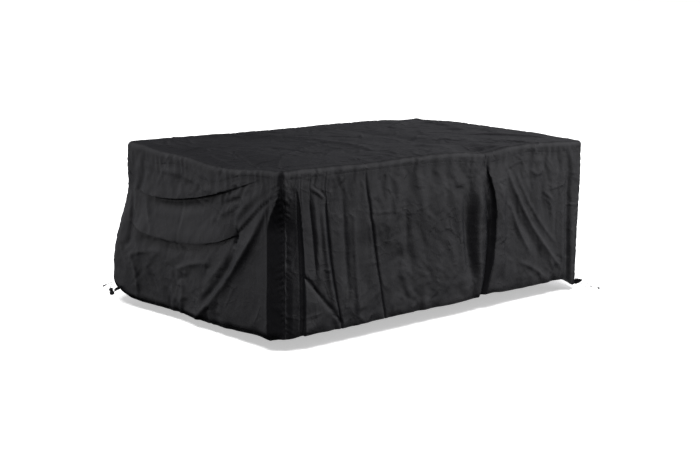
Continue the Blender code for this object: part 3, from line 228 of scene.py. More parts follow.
# Seeds of the smooth noises, which keep them apart and alike in every run.
SEED = {"drift": 5, "patches": 21, "nudge": 30, "seam_patches": 51, "seam_wave": 52, "rung": 53, "gather": 54,
        "corner_patches": 55, "pinch": 56}
# Octaves of the fine crumpling: seed, cells per metre and height.
Octave = namedtuple("Octave", "seed scale height")
OCTAVES = [Octave(11, 4.5, 0.0022), Octave(12, 9.5, 0.0012), Octave(13, 21.0, 0.0005)]

# Where the top edge sags between the corners, and how deep the seam is.
Dip = namedtuple("Dip", "side s wide depth")
EDGE_DIPS = [
    Dip("left", -0.2, 0.36, 0.045),
    Dip("left", 0.38, 0.22, 0.018),
    Dip("front", 0.3, 0.18, 0.026),
    Dip("front", -0.55, 0.25, 0.006),
    Dip("back", 0.98, 0.16, 0.008),
    Dip("back", -0.2, 0.4, 0.004),
    Dip("right", 0.56, 0.14, 0.008),
    Dip("right", -0.1, 0.3, 0.004),
]
SAG_REACH = 0.20         # how far over the top such a sag goes
TOP_FADE = 0.06          # width along the top's edges over which its folds die out
SEAM_DEPTH = 0.048       # top seam below the top, at a corner and where no dip is listed
SEAM_DIPS = [
    Dip("left", 0.45, 0.22, 0.052),
    Dip("left", -0.12, 0.24, 0.085),
    Dip("front", 0.32, 0.22, 0.04),
    Dip("front", 0.92, 0.16, 0.016),
    Dip("back", 0, 0.5, 0.02),
    Dip("right", 0, 0.3, 0.03),
]

# Corners of the top that sit lower than the rest, and how far along the edges that goes.
Low = namedtuple("Low", "side_x side_y depth reach")
LOW_CORNERS = [
    Low(1, -1, 0.02, 0.3),
    Low(1, 1, 0.012, 0.16),
    Low(-1, 1, 0.003, 0.1),
]
HEM_NEAR = 0.08          # how far along the sides a corner's own hem depth goes
HEM_WAVE = 0.003         # height of the hem's slight waves
# Depth of the hem: the drop, plus these.
HEM_STEP = {"front": -0.006, "left": 0.026, "back": 0.004, "right": 0.004}
HEM_CORNER = {(-1, -1): 0.004, (1, -1): 0.044, (-1, 1): -0.034, (1, 1): 0.012}
HEM_DIPS = [
    Dip("front", 0.365, 0.07, -0.014),
    Dip("left", -0.56, 0.14, -0.016),
    Dip("left", 0.66, 0.12, -0.024),
]
HEM_CURL = {"front": 0.006, "left": 0.018, "back": 0.008, "right": 0.008}   # how far the hem turns in
HEM_CURL_RISE = 0.045    # and over what height
HEM_FOLD = 0.025         # height of the doubled hem
STITCHES = (0.006, 0.012)                # distance of the two stitch lines from a sewn edge

# How far each hem corner stands out from the top corner above it, and the depths
# between which the cloth swings out.  reach is how far along the sides that goes.
Flare = namedtuple("Flare", "side_x side_y dx dy start end reach")
CORNER_FLARES = [
    Flare(-1, -1, -0.006, -0.01, 0.1, 0.6, 0.1),
    Flare(1, -1, -0.024, -0.014, 0.1, 0.7, 0.2),
    Flare(-1, 1, -0.086, 0.044, 0.22, 0.72, 0.42),
    Flare(1, 1, 0.03, 0.03, 0.2, 0.85, 0.35),
]
FLARE_START = 0.25       # depth from which the sides swing out, over what span, and how far
FLARE_SPAN = 0.65
SIDE_FLARE = {"front": 0.010, "left": 0.030, "back": 0.025, "right": 0.020}

# The tuck at the near upright corner: how far its seam is moved in, between which depths
# that grows, how wide the flat face beside the seam is on the short side, how far that
# face's edge stands out and over what distance that eases off.
Tuck = namedtuple("Tuck", "dx dy start end face stand ease")
TUCK = Tuck(0.0515, 0.0406, 0.07, 0.33, 0.0966, 0.011, 0.15)
TUCK_BACK = 0.58         # depth of the tuck at its back line, as a share of its depth at the seam
TUCK_FOOT = 0.42         # and at the foot of its lip
TUCK_LIP = 0.005         # width of the lip's wall
TUCK_HANG = 0.006        # how far the lip hangs over the tuck

# The seams' puckers: half their wave length and their height, how far from the seam they
# reach, and how much more the top seam of a side puckers.
PUCKER_WAVE = 0.022
PUCKER_HEIGHT = 0.0022
PUCKER_REACH = 0.035
PUCKER_SEAM = {"front": 2.8, "left": 4.0, "back": 1.8, "right": 1.8}
CORNER_PINCH = 0.004     # how far the upright corner seams stand out
# Height of the short puckers across the upright corner seams.
CORNER_RUNG = {"front": 0.0065, "left": 0.0117, "back": 0.0065, "right": 0.0065}
CORNER_WAVE = 0.0095     # half the wave length of those puckers
SEAM_GROOVE = 0.0006     # depth of the groove along the top seam

# ---------------------------------------------------------------- cords and fittings
# A place by a hem corner: out from the corner along the ground, side towards the long
# side's middle, up; all from the anchor on the hem, in millimetres.  A tab's sections are
# ovals, also in millimetres.
Place = namedtuple("Place", "out side up")
Section = namedtuple("Section", "out up half_height half_thick")
LEFT_OUT = (-0.90, 0.44, 0.0)
RIGHT_OUT = (1.0, -1.0, 0.0)
LEFT_TAB = [
    Section(0, 0, 7, 1.5),
    Section(6, -1, 11, 3.5),
    Section(16, -5, 11, 3.5),
    Section(30, -12, 10, 3.5),
    Section(42, -20, 8, 3),
]
RIGHT_TAB = [
    Section(0, 0, 10, 1.5),
    Section(6, 0, 18.5, 3.5),
    Section(17, 1, 18, 4),
    Section(30, 3, 14, 4),
    Section(44, 7, 8, 3.5),
    Section(53, 10, 2.5, 2),
]
TAB_SEGMENTS = 12        # of the solid tab, which the anchors are found from
LOCK_CENTRE = Place(58, 0, -24)
LOCK_LEAN = (0.25, 0.0, 1.0)
LEFT_CORD = [
    Place(63.1, 0, -3.6),
    Place(64.1, 0, 0.6),
    Place(62.5, 2, 9),
    Place(54.5, 4, 22),
    Place(59, 3, 31),
    Place(73, 1, 25),
    Place(85, 0, 20),
]
RIGHT_CORD_IN = [
    Place(34, 0, -9.8),
    Place(43, 0, -13.5),
    Place(58, 0, -19),
    Place(69, 0, -26),
    Place(76, 0, -37),
    Place(86, 0, -39.5),
    Place(97.5, 0, -35.2),
    Place(104.3, 0, -31.8),
]
RIGHT_CORD_OUT = [
    Place(113.8, 0, -30.4),
    Place(121, 0, -29.5),
    Place(131, 0, -29.5),
    Place(141, 0, -31.5),
    Place(149, 0, -36),
]
RIGHT_CORD_TAIL = [
    Place(105.5, 0, -27.8),
    Place(98, 0, -21),
    Place(89, 0, -15.5),
    Place(83, 0, -12),
    Place(81.5, 0, -6),
    Place(85, 0, 3.5),
]
KNOT_CENTRE = Place(109, 0, -30.8)
CORD_STEP = 0.0015       # spacing of a cord's rings
KNOT_LOOP = 0.0026       # radius of the knot's loop
KNOT_LEAF = 0.0016       # how far its three leaves stand out of that
KNOT_RISE = 0.0021       # and how far they cross along the cord
END_GAP = 0.0004         # from a cord's end to the piece on it
# Bodies of revolution: distance along the axis and radius, in millimetres.
LOCK_BARREL = [(-21, 0.2), (-21, 7), (-20.4, 9.2), (-18.8, 11.8), (-15, 13.6), (-10, 14.4), (-5, 13.8),
               (-3, 12.8), (-2.2, 13), (0.4, 12.2), (2.4, 10), (3, 8.4), (3, 0.2)]
LOCK_BUTTON = [(3.4, 0.2), (3.4, 7.4), (4.4, 9), (6, 10.8), (10, 12.6), (14, 13), (17.6, 11.8),
               (19.6, 9.4), (20.5, 5.8), (20.7, 2), (20.7, 0.2)]
CORD_END = [(0, 0.2), (0, 2.2), (0.8, 2.7), (3, 3), (12, 4), (20, 5), (22.5, 5.1), (24.4, 4.6),
            (25.7, 3.3), (26, 0.2)]
KNOB_END = [(0, 0.2), (0, 2.2), (1, 2.9), (3.5, 3.6), (8.5, 6.2), (10.5, 6.7), (13, 6.7), (14.8, 5.6),
            (15.5, 4), (15.7, 0.2)]

# ---------------------------------------------------------------- camera
LENS_PIXELS = 1224.7
FRAME_PIXELS = 700.0
CAMERA_PLACE = (-4.866, -5.594, 0.931)
CAMERA_YAW = -40.56
CAMERA_PITCH = 11.53
CAMERA_ROLL = 0.51
FLOOR_LEVEL = -0.9655
FLOOR_GLOW = 0.52        # the pale floor's own light, which keeps shadows on it faint


# ================================================================ shapes as arrays
def smooth(t):
    """0 to 1 with level ends: t squared times (3 - 2t), held at 0 and 1 outside."""
    t = np.clip(t, 0.0, 1.0)
    return t * t * (3.0 - 2.0 * t)


def fold_line(fold, steps=20):
    """Points of the parabola through a fold's start, middle and end; it dies out at an end above the hem."""
    t = np.linspace(0.0, 1.0, steps + 1)
    first = 2.0 * (t - 0.5) * (t - 1.0)
    middle = 4.0 * t * (1.0 - t)
    last = 2.0 * t * (t - 0.5)
    s = fold.s0 * first + fold.s1 * middle + fold.s2 * last
    h = fold.h0 * first + fold.h1 * middle + fold.h2 * last
    out = fold.out_0 * first + fold.out_1 * middle + fold.out_2 * last
    if fold.kind == "lap" or fold.h0 < FOLD_OPEN:
        out = out * smooth(t / FOLD_FADE)
    if fold.kind == "lap" or fold.h2 < FOLD_OPEN:
        out = out * smooth((1.0 - t) / FOLD_FADE)
    return s, h, out


def fold_field(folds, s, h):
    """Summed relief of the folds at (s, h): out, and the lean of the laps along s and h.

    Each fold is a profile of the distance to its line: a ridge is a bell curve, a crease a
    cusp, and a lap rises to a lip and drops behind it to a tucked-in hollow, with its lip
    pushed over it.
    """
    out = np.zeros_like(s)
    lean_s = np.zeros_like(s)
    lean_h = np.zeros_like(s)
    for fold in (fold for fold in folds if fold.kind != "line"):
        line_s, line_h, line_out = fold_line(fold)
        best = np.full(s.shape, 1e9)
        side = np.zeros_like(s)
        height = np.zeros_like(s)
        across_s = np.zeros_like(s)
        across_h = np.zeros_like(s)
        for k in range(len(line_s) - 1):
            ds = line_s[k + 1] - line_s[k]
            dh = line_h[k + 1] - line_h[k]
            size = math.hypot(ds, dh)
            t = np.clip(((s - line_s[k]) * ds + (h - line_h[k]) * dh) / (size * size), 0.0, 1.0)
            off_s = s - line_s[k] - t * ds
            off_h = h - line_h[k] - t * dh
            distance = np.hypot(off_s, off_h)
            near = distance < best
            best = np.where(near, distance, best)
            side = np.where(near, (ds * off_h - dh * off_s) / size, side)
            height = np.where(near, line_out[k] + t * (line_out[k + 1] - line_out[k]), height)
            across_s = np.where(near, -dh / size, across_s)
            across_h = np.where(near, ds / size, across_h)
        reach = np.where(side < 0.0, fold.wide, fold.far or fold.wide)
        if fold.kind == "ridge":
            out += height * np.exp(-(best / reach) ** 2)
        elif fold.kind == "crease":
            out += height * np.exp(-best / reach)
        else:
            over = side < 0.0005
            lip = np.exp(-(best / fold.wide) ** 2)
            tuck = np.exp(-(best / LAP_EDGE) ** 2)
            under = smooth(best / LAP_STEP) * np.exp(-(best / (0.55 * fold.wide)) ** 2)
            out += height * np.where(over, lip, tuck - LAP_UNDER * under)
            hang = LAP_HANG * height * np.where(over, np.exp(-(best / (0.4 * fold.wide)) ** 2), tuck)
            lean_s += hang * across_s
            lean_h += hang * across_h
    return out, lean_s, lean_h


def scattered(panel, s, h):
    """Relief of one panel's short creases: slightly bent lines with a sharp top, longer on one flank."""
    rng = np.random.default_rng(CREASE_SEED + sum(ord(c) for c in panel))
    out = np.zeros_like(s)
    for row in SCATTERS:
        if row.panel != panel:
            continue
        at_s = rng.uniform(row.s_low, row.s_high, row.count)
        at_h = rng.uniform(row.h_low, row.h_high, row.count)
        turn = np.radians(row.angle + rng.uniform(-row.spread, row.spread, row.count))
        half = row.length * rng.uniform(0.5, 1.3, row.count)
        height = row.height * rng.uniform(0.4, 1.2, row.count)
        height = height * rng.choice([-1.0, 1.0], row.count, p=[0.4, 0.6])
        wide = row.wide * rng.uniform(0.7, 1.5, row.count)
        skew = rng.choice([0.6, 2.2], row.count)
        for k in range(row.count):
            spot = np.nonzero(np.hypot(s - at_s[k], h - at_h[k]) < half[k] + 4.0 * wide[k])
            ds, dh = s[spot] - at_s[k], h[spot] - at_h[k]
            along = (ds * math.cos(turn[k]) + dh * math.sin(turn[k])) / half[k]
            across = dh * math.cos(turn[k]) - ds * math.sin(turn[k]) + 0.12 * half[k] * along ** 2
            reach = wide[k] * np.where(across > 0.0, skew[k], 1.0)
            fade = np.clip(1.0 - along ** 2, 0.0, 1.0) ** 1.5
            out[spot] += height[k] * fade * np.exp(-np.abs(across) / reach)
    return out


def lattice(points, seed):
    """Smooth noise from 0 to 1: random numbers on a lattice of unit cells, blended with level ends."""
    size = 32
    table = np.random.default_rng(seed).random((size, size, size))
    cell = np.floor(points).astype(int)
    share = points - cell
    share = share * share * (3.0 - 2.0 * share)
    low, high = cell % size, (cell + 1) % size
    total = 0.0
    for a in (0, 1):
        for b in (0, 1):
            for c in (0, 1):
                ends = [high if up else low for up in (a, b, c)]
                corner = table[ends[0][..., 0], ends[1][..., 1], ends[2][..., 2]]
                weight = 1.0
                for k, up in enumerate((a, b, c)):
                    weight = weight * (share[..., k] if up else 1 - share[..., k])
                total = total + corner * weight
    return total


def crumple(points):
    """Creased noise: each octave is 1 minus twice its distance from one half, so that it has sharp tops."""
    drift = np.stack([lattice(points * 3.0, SEED["drift"] + k) for k in range(3)], axis=-1) * 0.35
    patchy = 0.30 + 1.0 * smooth(1.8 * lattice(points * 2.3, SEED["patches"]) - 0.4)
    total = 0.0
    for octave in OCTAVES:
        value = lattice((points + drift) * octave.scale, octave.seed)
        total = total + octave.height * (1.0 - np.abs(2.0 * value - 1.0) * 2.0)
    return total * patchy


def dips(table, side, s):
    """Summed dips of one side at s, each a bell curve."""
    total = np.zeros_like(s)
    for row in table:
        if row.side == side:
            total += row.depth * np.exp(-((s - row.s) / row.wide) ** 2)
    return total


# ---------------------------------------------------------------- the four sides
Side = namedtuple("Side", "name half reach along outward folds cells")
SIDES = {
    "front": Side("front", HALF_X, HALF_Y, (1, 0), (0, -1), FRONT_FOLDS, LONG_CELLS),
    "right": Side("right", HALF_Y, HALF_X, (0, 1), (1, 0), RIGHT_FOLDS, SHORT_CELLS),
    "back": Side("back", HALF_X, HALF_Y, (1, 0), (0, 1), BACK_FOLDS, LONG_CELLS),
    "left": Side("left", HALF_Y, HALF_X, (0, 1), (-1, 0), LEFT_FOLDS, SHORT_CELLS),
}

# Grid lines that keep to a lap, so that its lip is one clean edge: the lap they follow, how
# far beside it in millimetres, and the cells from there to the next one.
Guide = namedtuple("Guide", "fold offset cells")
FRONT_GUIDES = [
    Guide(None, 0, 16),
    Guide("tuck_back", -4, 3), Guide("tuck_back", 4, 7),
    Guide("tuck_lip", -6, 3), Guide("tuck_lip", 1, 3), Guide("tuck_lip", 12, 4),
    Guide("second_pleat", -12, 4), Guide("second_pleat", 0, 4), Guide("second_pleat", 12, 10),
    Guide("third_pleat", -20, 6), Guide("third_pleat", 0, 3),
    Guide("third_pleat", 9, 4), Guide("third_pleat", 30, 26),
    Guide("fourth_pleat", -20, 4), Guide("fourth_pleat", 0, 2),
    Guide("fourth_pleat", 9, 3), Guide("fourth_pleat", 30, 72),
    Guide("slit", -30, 3), Guide("slit", -9, 2),
    Guide("slit", 0, 4), Guide("slit", 20, 77),
]
LEFT_GUIDES = [
    Guide(None, 0, 12),
    Guide("upper_cowl", -20, 4), Guide("upper_cowl", 0, 2),
    Guide("upper_cowl", 9, 3), Guide("upper_cowl", 30, 16),
    Guide("lower_cowl", -20, 4), Guide("lower_cowl", 0, 2),
    Guide("lower_cowl", 9, 3), Guide("lower_cowl", 30, 50),
]
CORNER_CELLS = 26        # of a short side's cells, the ones near its first corner
CORNER_SPAN = 0.130      # and how far those reach
TIGHT = 0.0028           # least size of a cell beside a guide


def corner_fade(side, s):
    """1 on the straight of a side, 0 at its corner seams."""
    return smooth((side.half - 0.010 - np.abs(s)) / 0.055)


def corner_key(side, s):
    """Signs of the corner nearest to s."""
    sign = np.where(s < 0.0, -1, 1)
    if side.outward[0] != 0:
        return np.full(s.shape, side.outward[0]), sign
    return sign, np.full(s.shape, side.outward[1])


def low_corner(side, s):
    """How far the top edge is lowered by a low corner."""
    key_x, key_y = corner_key(side, s)
    total = np.zeros_like(s)
    away = np.maximum(side.half - CORNER_RADIUS - np.abs(s), 0.0)
    for row in LOW_CORNERS:
        match = (key_x == row.side_x) & (key_y == row.side_y)
        total += np.where(match, row.depth * np.exp(-(away / row.reach) ** 2), 0.0)
    return total


def edge_drop(side, s):
    """Sag of the top edge below the flat top."""
    return dips(EDGE_DIPS, side.name, s) * corner_fade(side, s)


def seam_depth(side, s):
    """Depth of the seam between the top panel and a side panel."""
    return SEAM_DEPTH + low_corner(side, s) + dips(SEAM_DIPS, side.name, s) * corner_fade(side, s)


def hem_depth(side, s):
    """Depth of the hem: its own value at each corner, slightly wavy between."""
    key_x, key_y = corner_key(side, s)
    away = np.maximum(side.half - CORNER_RADIUS - np.abs(s), 0.0)
    near = np.exp(-(away / HEM_NEAR) ** 2)
    corner = np.zeros_like(s)
    for (side_x, side_y), depth in HEM_CORNER.items():
        corner += np.where((key_x == side_x) & (key_y == side_y), depth, 0.0)
    wave = HEM_WAVE * np.sin(9.0 * s + 2.0 * side.reach)
    middle = HEM_STEP[side.name] + wave + dips(HEM_DIPS, side.name, s)
    return DROP + corner * near + middle * (1.0 - near)


def mark_of(side):
    """A number that sets a side's noise apart from the others'."""
    return float(sum(ord(c) for c in side.name))


def noise_at(first, second, name):
    """Smooth noise at two numbers that count its cells, with the seed of that name."""
    return lattice(np.stack([first, second, 0.0 * first], axis=-1), SEED[name])


def small_relief(side, s, h, hem):
    """Relief finer than the folds: scattered creases, the gathered, doubled hem and its curl."""
    out = scattered(side.name, s, h)
    above_hem = hem - h
    gather = noise_at(s / 0.055 + mark_of(side), 5.0 * above_hem, "gather") - 0.5
    out += 0.009 * gather * np.exp(-(above_hem / 0.05) ** 2)
    out += 0.0012 * smooth((HEM_FOLD + 0.002 - above_hem) / 0.004)
    out -= HEM_CURL[side.name] * smooth(1.0 - above_hem / HEM_CURL_RISE) ** 1.5
    return out


def seam_puckers(side, s, below):
    """Relief along the top seam: puckers across it, which come and go, and its groove."""
    mark = mark_of(side)
    uneven = noise_at(s * 4.0 + mark, below * 3.0, "seam_patches")
    near_seam = np.exp(-(below / (PUCKER_REACH * (0.6 + uneven))) ** 2)
    wave = noise_at(s / PUCKER_WAVE + mark + 12.0 * below, 8.0 * below, "seam_wave") - 0.5
    pucker = PUCKER_SEAM[side.name] * PUCKER_HEIGHT * wave * near_seam * smooth(1.8 * uneven - 0.1)
    return pucker - SEAM_GROOVE * np.exp(-(below / 0.006) ** 2)


def corner_puckers(side, s, h):
    """Relief beside the upright seams: short puckers that slant down from the seam, and the pinched seam."""
    beside = np.maximum(side.half - CORNER_CUT - np.abs(s), 0.0)
    mark = mark_of(side)
    wave = noise_at((h - 0.45 * beside) / CORNER_WAVE + mark, s * 14.0, "rung") - 0.5
    uneven = smooth(2.2 * noise_at(h * 7.0 + mark, 0.0 * s, "corner_patches") - 0.4)
    reach = 0.020 + 0.030 * uneven
    rung = CORNER_RUNG[side.name] * wave * smooth(beside / 0.010) * np.exp(-(beside / reach) ** 2)
    pinch = CORNER_PINCH * np.exp(-(beside / 0.008) ** 2) * noise_at(h / 0.017, 0.0 * h, "pinch")
    return (rung + pinch) * smooth((h - 0.05) / 0.05)


def at_depth(side, name, h):
    """Place along the panel of the fold of that name, at depth h."""
    line_s, line_h, _ = fold_line(next(fold for fold in side.folds if fold.name == name))
    order = np.argsort(line_h)
    return np.interp(h, line_h[order], line_s[order])


def near_flare(side, s):
    """Share of the side's flare at s: the short side keeps flat beside the near corner."""
    return smooth((s + side.half) / 0.60) if side.name == "left" else 1.0


def tucked(side, s, h, x, y):
    """x and y of a side's points, with the cloth round the near corner tucked in.

    On the short side a flat face runs straight from its edge, which stands out a little, to
    the seam.  On the long side the depth falls from the seam to the tuck's back line and on
    to the foot of its lip, then drops to nothing over the lip's wall, and the lip hangs over.
    """
    grown = smooth((h - TUCK.start) / (TUCK.end - TUCK.start))
    end = side.half - CORNER_CUT
    seam_x = -HALF_X + CORNER_INSET + TUCK.dx
    seam_y = -HALF_Y + CORNER_INSET + TUCK.dy
    if side.name == "left":
        edge = end - TUCK.face * grown
        share = np.clip((-s - edge) / np.maximum(end - edge, 1e-4), 0.0, 1.0)
        stand = TUCK.stand * grown * np.exp(-np.maximum(edge + s, 0.0) / TUCK.ease)
        turn = np.maximum(edge - side.half + CORNER_RADIUS, 0.0) / CORNER_RADIUS
        edge_x = -HALF_X + CORNER_RADIUS * (1.0 - np.cos(turn)) - stand
        edge_y = -np.where(turn > 0.0, side.half - CORNER_RADIUS * (1.0 - np.sin(turn)), edge)
        past_x = -HALF_X + CORNER_INSET + TUCK.dx * grown
        past_y = -HALF_Y + CORNER_INSET + TUCK.dy * grown
        face = -s > edge
        x = np.where(face, x - flat_x(side, s) + edge_x + (past_x - edge_x) * share, x - stand)
        y = np.where(face, y - flat_y(side, s) + edge_y + (past_y - edge_y) * share, y)
        return x, y
    if side.name == "front":
        lip, back = at_depth(side, "tuck_lip", h), at_depth(side, "tuck_back", h)
        foot = lip - TUCK_LIP
        past = (seam_y + HALF_Y) / TUCK.dy
        inner = past + (TUCK_BACK - past) * np.clip((s + end) / (back + end), 0.0, 1.0)
        slope = TUCK_BACK + (TUCK_FOOT - TUCK_BACK) * np.clip((s - back) / (foot - back), 0.0, 1.0)
        wall = TUCK_FOOT * np.clip((lip - s) / TUCK_LIP, 0.0, 1.0)
        depth = np.where(s < back, inner, np.where(s < foot, slope, wall))
        share = np.clip((s + end) / (lip + end), 0.0, 1.0)
        over = 1.0 - np.clip((lip - s) / TUCK_LIP, 0.0, 1.0)
        hang = TUCK_HANG * np.where(s < lip, over, np.exp((lip - s) / 0.012))
        x = x + grown * (np.where(s < lip, seam_x + (lip - seam_x) * share - flat_x(side, s), 0.0) - hang)
        y = y + grown * np.where(s < lip, -HALF_Y + TUCK.dy * depth - flat_y(side, s), 0.0)
        return x, y
    return x, y


def rounded(side, s):
    """Run along a side and stand off the middle, both of its bare outline at s, and the turn there."""
    straight = side.half - CORNER_RADIUS
    turn = np.clip((np.abs(s) - straight) / CORNER_RADIUS, 0.0, math.pi / 4.0)
    run = np.where(turn > 0.0, np.sign(s) * (straight + CORNER_RADIUS * np.sin(turn)), s)
    return run, side.reach - CORNER_RADIUS + CORNER_RADIUS * np.cos(turn), turn


def flat_x(side, s):
    """x of the bare outline of a side at s."""
    run, stand, _ = rounded(side, s)
    return side.along[0] * run + side.outward[0] * stand


def flat_y(side, s):
    """y of the bare outline of a side at s."""
    run, stand, _ = rounded(side, s)
    return side.along[1] * run + side.outward[1] * stand


def side_point(side, s, h):
    """Place on the outer face of a side at s along it (rounded corners included), h down."""
    run, stand, turn = rounded(side, s)
    sign = np.sign(s)
    norm_run = sign * np.sin(turn)
    norm_out = np.cos(turn)

    fade = corner_fade(side, s)
    relief, lean_s, lean_h = fold_field(side.folds, s, h)
    seam = seam_depth(side, s)
    relief = relief + small_relief(side, s, h, hem_depth(side, s))
    below = smooth((h - seam) / 0.05)
    flare = SIDE_FLARE[side.name] * smooth((h - FLARE_START) / FLARE_SPAN)
    out = (relief * (0.25 + 0.75 * below) + flare * near_flare(side, s)) * fade
    out = out + seam_puckers(side, s, h - seam) * fade + corner_puckers(side, s, h)
    run = run + lean_s * fade * below + norm_run * out
    stand = stand + norm_out * out
    down = h + lean_h * fade * below

    x = side.along[0] * run + side.outward[0] * stand
    y = side.along[1] * run + side.outward[1] * stand
    x, y = tucked(side, s, h, x, y)
    for row in CORNER_FLARES:
        if side.outward[0] != 0:
            same = row.side_x == side.outward[0]
            away = np.abs(s - row.side_y * side.half)
        else:
            same = row.side_y == side.outward[1]
            away = np.abs(s - row.side_x * side.half)
        if not same:
            continue
        near = np.exp(-(np.maximum(away - 0.02, 0.0) / row.reach) ** 2)
        swing = smooth((h - row.start) / (row.end - row.start)) * near
        x = x + row.dx * swing
        y = y + row.dy * swing
    return np.stack([x, y, TOP_LIFT - down], axis=-1)


def guided(guides, folds, at, low, high, swap):
    """Grid lines between low and high at each value of at, with the guides kept: (at, lines)."""
    marks = [low]
    for guide in guides[1:]:
        fold = next(f for f in folds if f.name == guide.fold)
        line_s, line_h, _ = fold_line(fold)
        key, value = (line_s, line_h) if swap else (line_h, line_s)
        order = np.argsort(key)
        marks.append(np.interp(at, key[order], value[order]) + guide.offset / 1000.0)
    marks.append(high)
    cells = [guide.cells for guide in guides]
    for k in range(1, len(marks)):
        marks[k] = np.maximum(marks[k], marks[k - 1] + TIGHT * cells[k - 1])
    marks[-1] = high
    for k in range(len(marks) - 2, -1, -1):
        marks[k] = np.minimum(marks[k], marks[k + 1] - TIGHT * cells[k])
    marks[0] = low
    line = np.arange(sum(cells) + 1)
    start = np.concatenate([[0], np.cumsum(cells)])
    part = np.minimum(np.searchsorted(start, line, side="right") - 1, len(cells) - 1)
    share = (line - start[part]) / np.array(cells)[part]
    marks = np.stack(marks, axis=-1)
    return marks[..., part] * (1.0 - share) + marks[..., part + 1] * share


def side_grid(side):
    """s and h of every grid point of a side panel, (columns, rows)."""
    straight = side.half - CORNER_RADIUS
    arc = CORNER_RADIUS * math.pi / 4.0 * np.arange(1, RIM + 1) / RIM
    share = np.arange(ROWS + 1) / ROWS
    if side.name == "front":
        at = SEAM_DEPTH + (DROP - SEAM_DEPTH) * share
        ends = np.full(ROWS + 1, straight)
        middle = guided(FRONT_GUIDES, side.folds, at, -ends, ends, swap=False).T
    else:
        inner = side.cells - 2 * RIM
        if side.along[1]:
            close = np.linspace(-straight, -straight + CORNER_SPAN, CORNER_CELLS + 1)
            wide = np.linspace(-straight + CORNER_SPAN, straight, inner - CORNER_CELLS + 1)
            middle = np.concatenate([close, wide[1:]])
        else:
            middle = np.linspace(-straight, straight, inner + 1)
        middle = middle[:, None] + 0.0 * share
    left = np.broadcast_to((-straight - arc[::-1])[:, None], (RIM, ROWS + 1))
    right = np.broadcast_to((straight + arc)[:, None], (RIM, ROWS + 1))
    s = np.concatenate([left, middle, right])
    top, hem = seam_depth(side, s), hem_depth(side, s)
    h = top + (hem - top) * share
    if side.name == "left":
        own = smooth((straight - np.abs(s)) / 0.09)
        kept = guided(LEFT_GUIDES, side.folds, s[:, 0], top[:, 0], hem[:, 0], swap=True)
        h = h + own * (kept - h)
    return s, h


# ---------------------------------------------------------------- the top panel
def top_height(x, y):
    """Relief of the top at (x, y): the folds, the scattered creases and the sag towards the dipped edges."""
    relief = fold_field(TOP_FOLDS, x, y)[0] + scattered("top", x, y)
    inset_x = smooth((HALF_X - EDGE_RADIUS - np.abs(x)) / TOP_FADE)
    inset_y = smooth((HALF_Y - EDGE_RADIUS - np.abs(y)) / TOP_FADE)
    z = relief * inset_x * inset_y
    for side in SIDES.values():
        along = x if side.along[0] else y
        away = side.reach - (side.outward[0] * x + side.outward[1] * y)
        z = z - edge_drop(side, along) * np.exp(-(np.maximum(away - EDGE_RADIUS, 0.0) / SAG_REACH) ** 2)
    for row in LOW_CORNERS:
        off_x = np.maximum(HALF_X - CORNER_RADIUS - row.side_x * x, 0.0)
        off_y = np.maximum(HALF_Y - CORNER_RADIUS - row.side_y * y, 0.0)
        z = z - row.depth * np.exp(-(np.hypot(off_x, off_y) / row.reach) ** 2)
    return z


def rim_strip(side, s):
    """The rim of the top panel beside one side, (columns, layers): up from the seam, then over the edge.

    Layer 0 is the seam.  The upright layers share the height up to the rounded edge evenly,
    and the others a quarter turn of the edge radius.  At a corner the columns of each layer
    share an eighth of a turn of the upright corner.
    """
    count = side.cells
    i = np.arange(count + 1)[:, None]
    layer = np.arange(RIM + 1)[None, :]
    edge = np.minimum(i, count - i)
    share = np.where(edge < RIM, (RIM - edge) / np.maximum(RIM - layer, 1), 0.0)
    share = np.clip(share, 0.0, 1.0)
    straight = side.half - CORNER_RADIUS
    sign = np.where(i < count / 2, -1.0, 1.0)
    flat_s = np.broadcast_to(s[:, None], (count + 1, RIM + 1))
    arc_s = sign * (straight + share * CORNER_RADIUS * math.pi / 4.0)
    s_here = np.where(edge < RIM, arc_s, flat_s)

    tilt = np.radians(90.0) * (RIM - layer) / (RIM - RIM_UPRIGHT)
    tilt = np.minimum(tilt, math.pi / 2.0)
    radius = CORNER_RADIUS - EDGE_RADIUS * (1.0 - np.sin(tilt))
    turn = np.where(edge < RIM, share * math.pi / 4.0, 0.0)
    run = np.where(edge < RIM, sign * (straight + radius * np.sin(turn)), flat_s)
    stand = side.reach - CORNER_RADIUS + radius * np.cos(turn)
    x = side.along[0] * run + side.outward[0] * stand
    y = side.along[1] * run + side.outward[1] * stand
    height = top_height(x, y)
    arc = np.stack([x, y, TOP_LIFT + height - EDGE_RADIUS * (1.0 - np.cos(tilt))], axis=-1)

    seam = seam_depth(side, s_here)
    edge_h = EDGE_RADIUS - height[:, RIM_UPRIGHT:RIM_UPRIGHT + 1]
    rise = np.clip(layer / RIM_UPRIGHT, 0.0, 1.0)
    upright = side_point(side, s_here, seam + (np.minimum(edge_h, seam - 0.004) - seam) * rise)
    shift = (upright - arc)[:, RIM_UPRIGHT:RIM_UPRIGHT + 1]
    shift = shift * np.array([1.0, 1.0, 0.0])
    over = arc + shift * np.sin(tilt)[..., None]
    return np.where((layer < RIM_UPRIGHT)[..., None], upright, over)


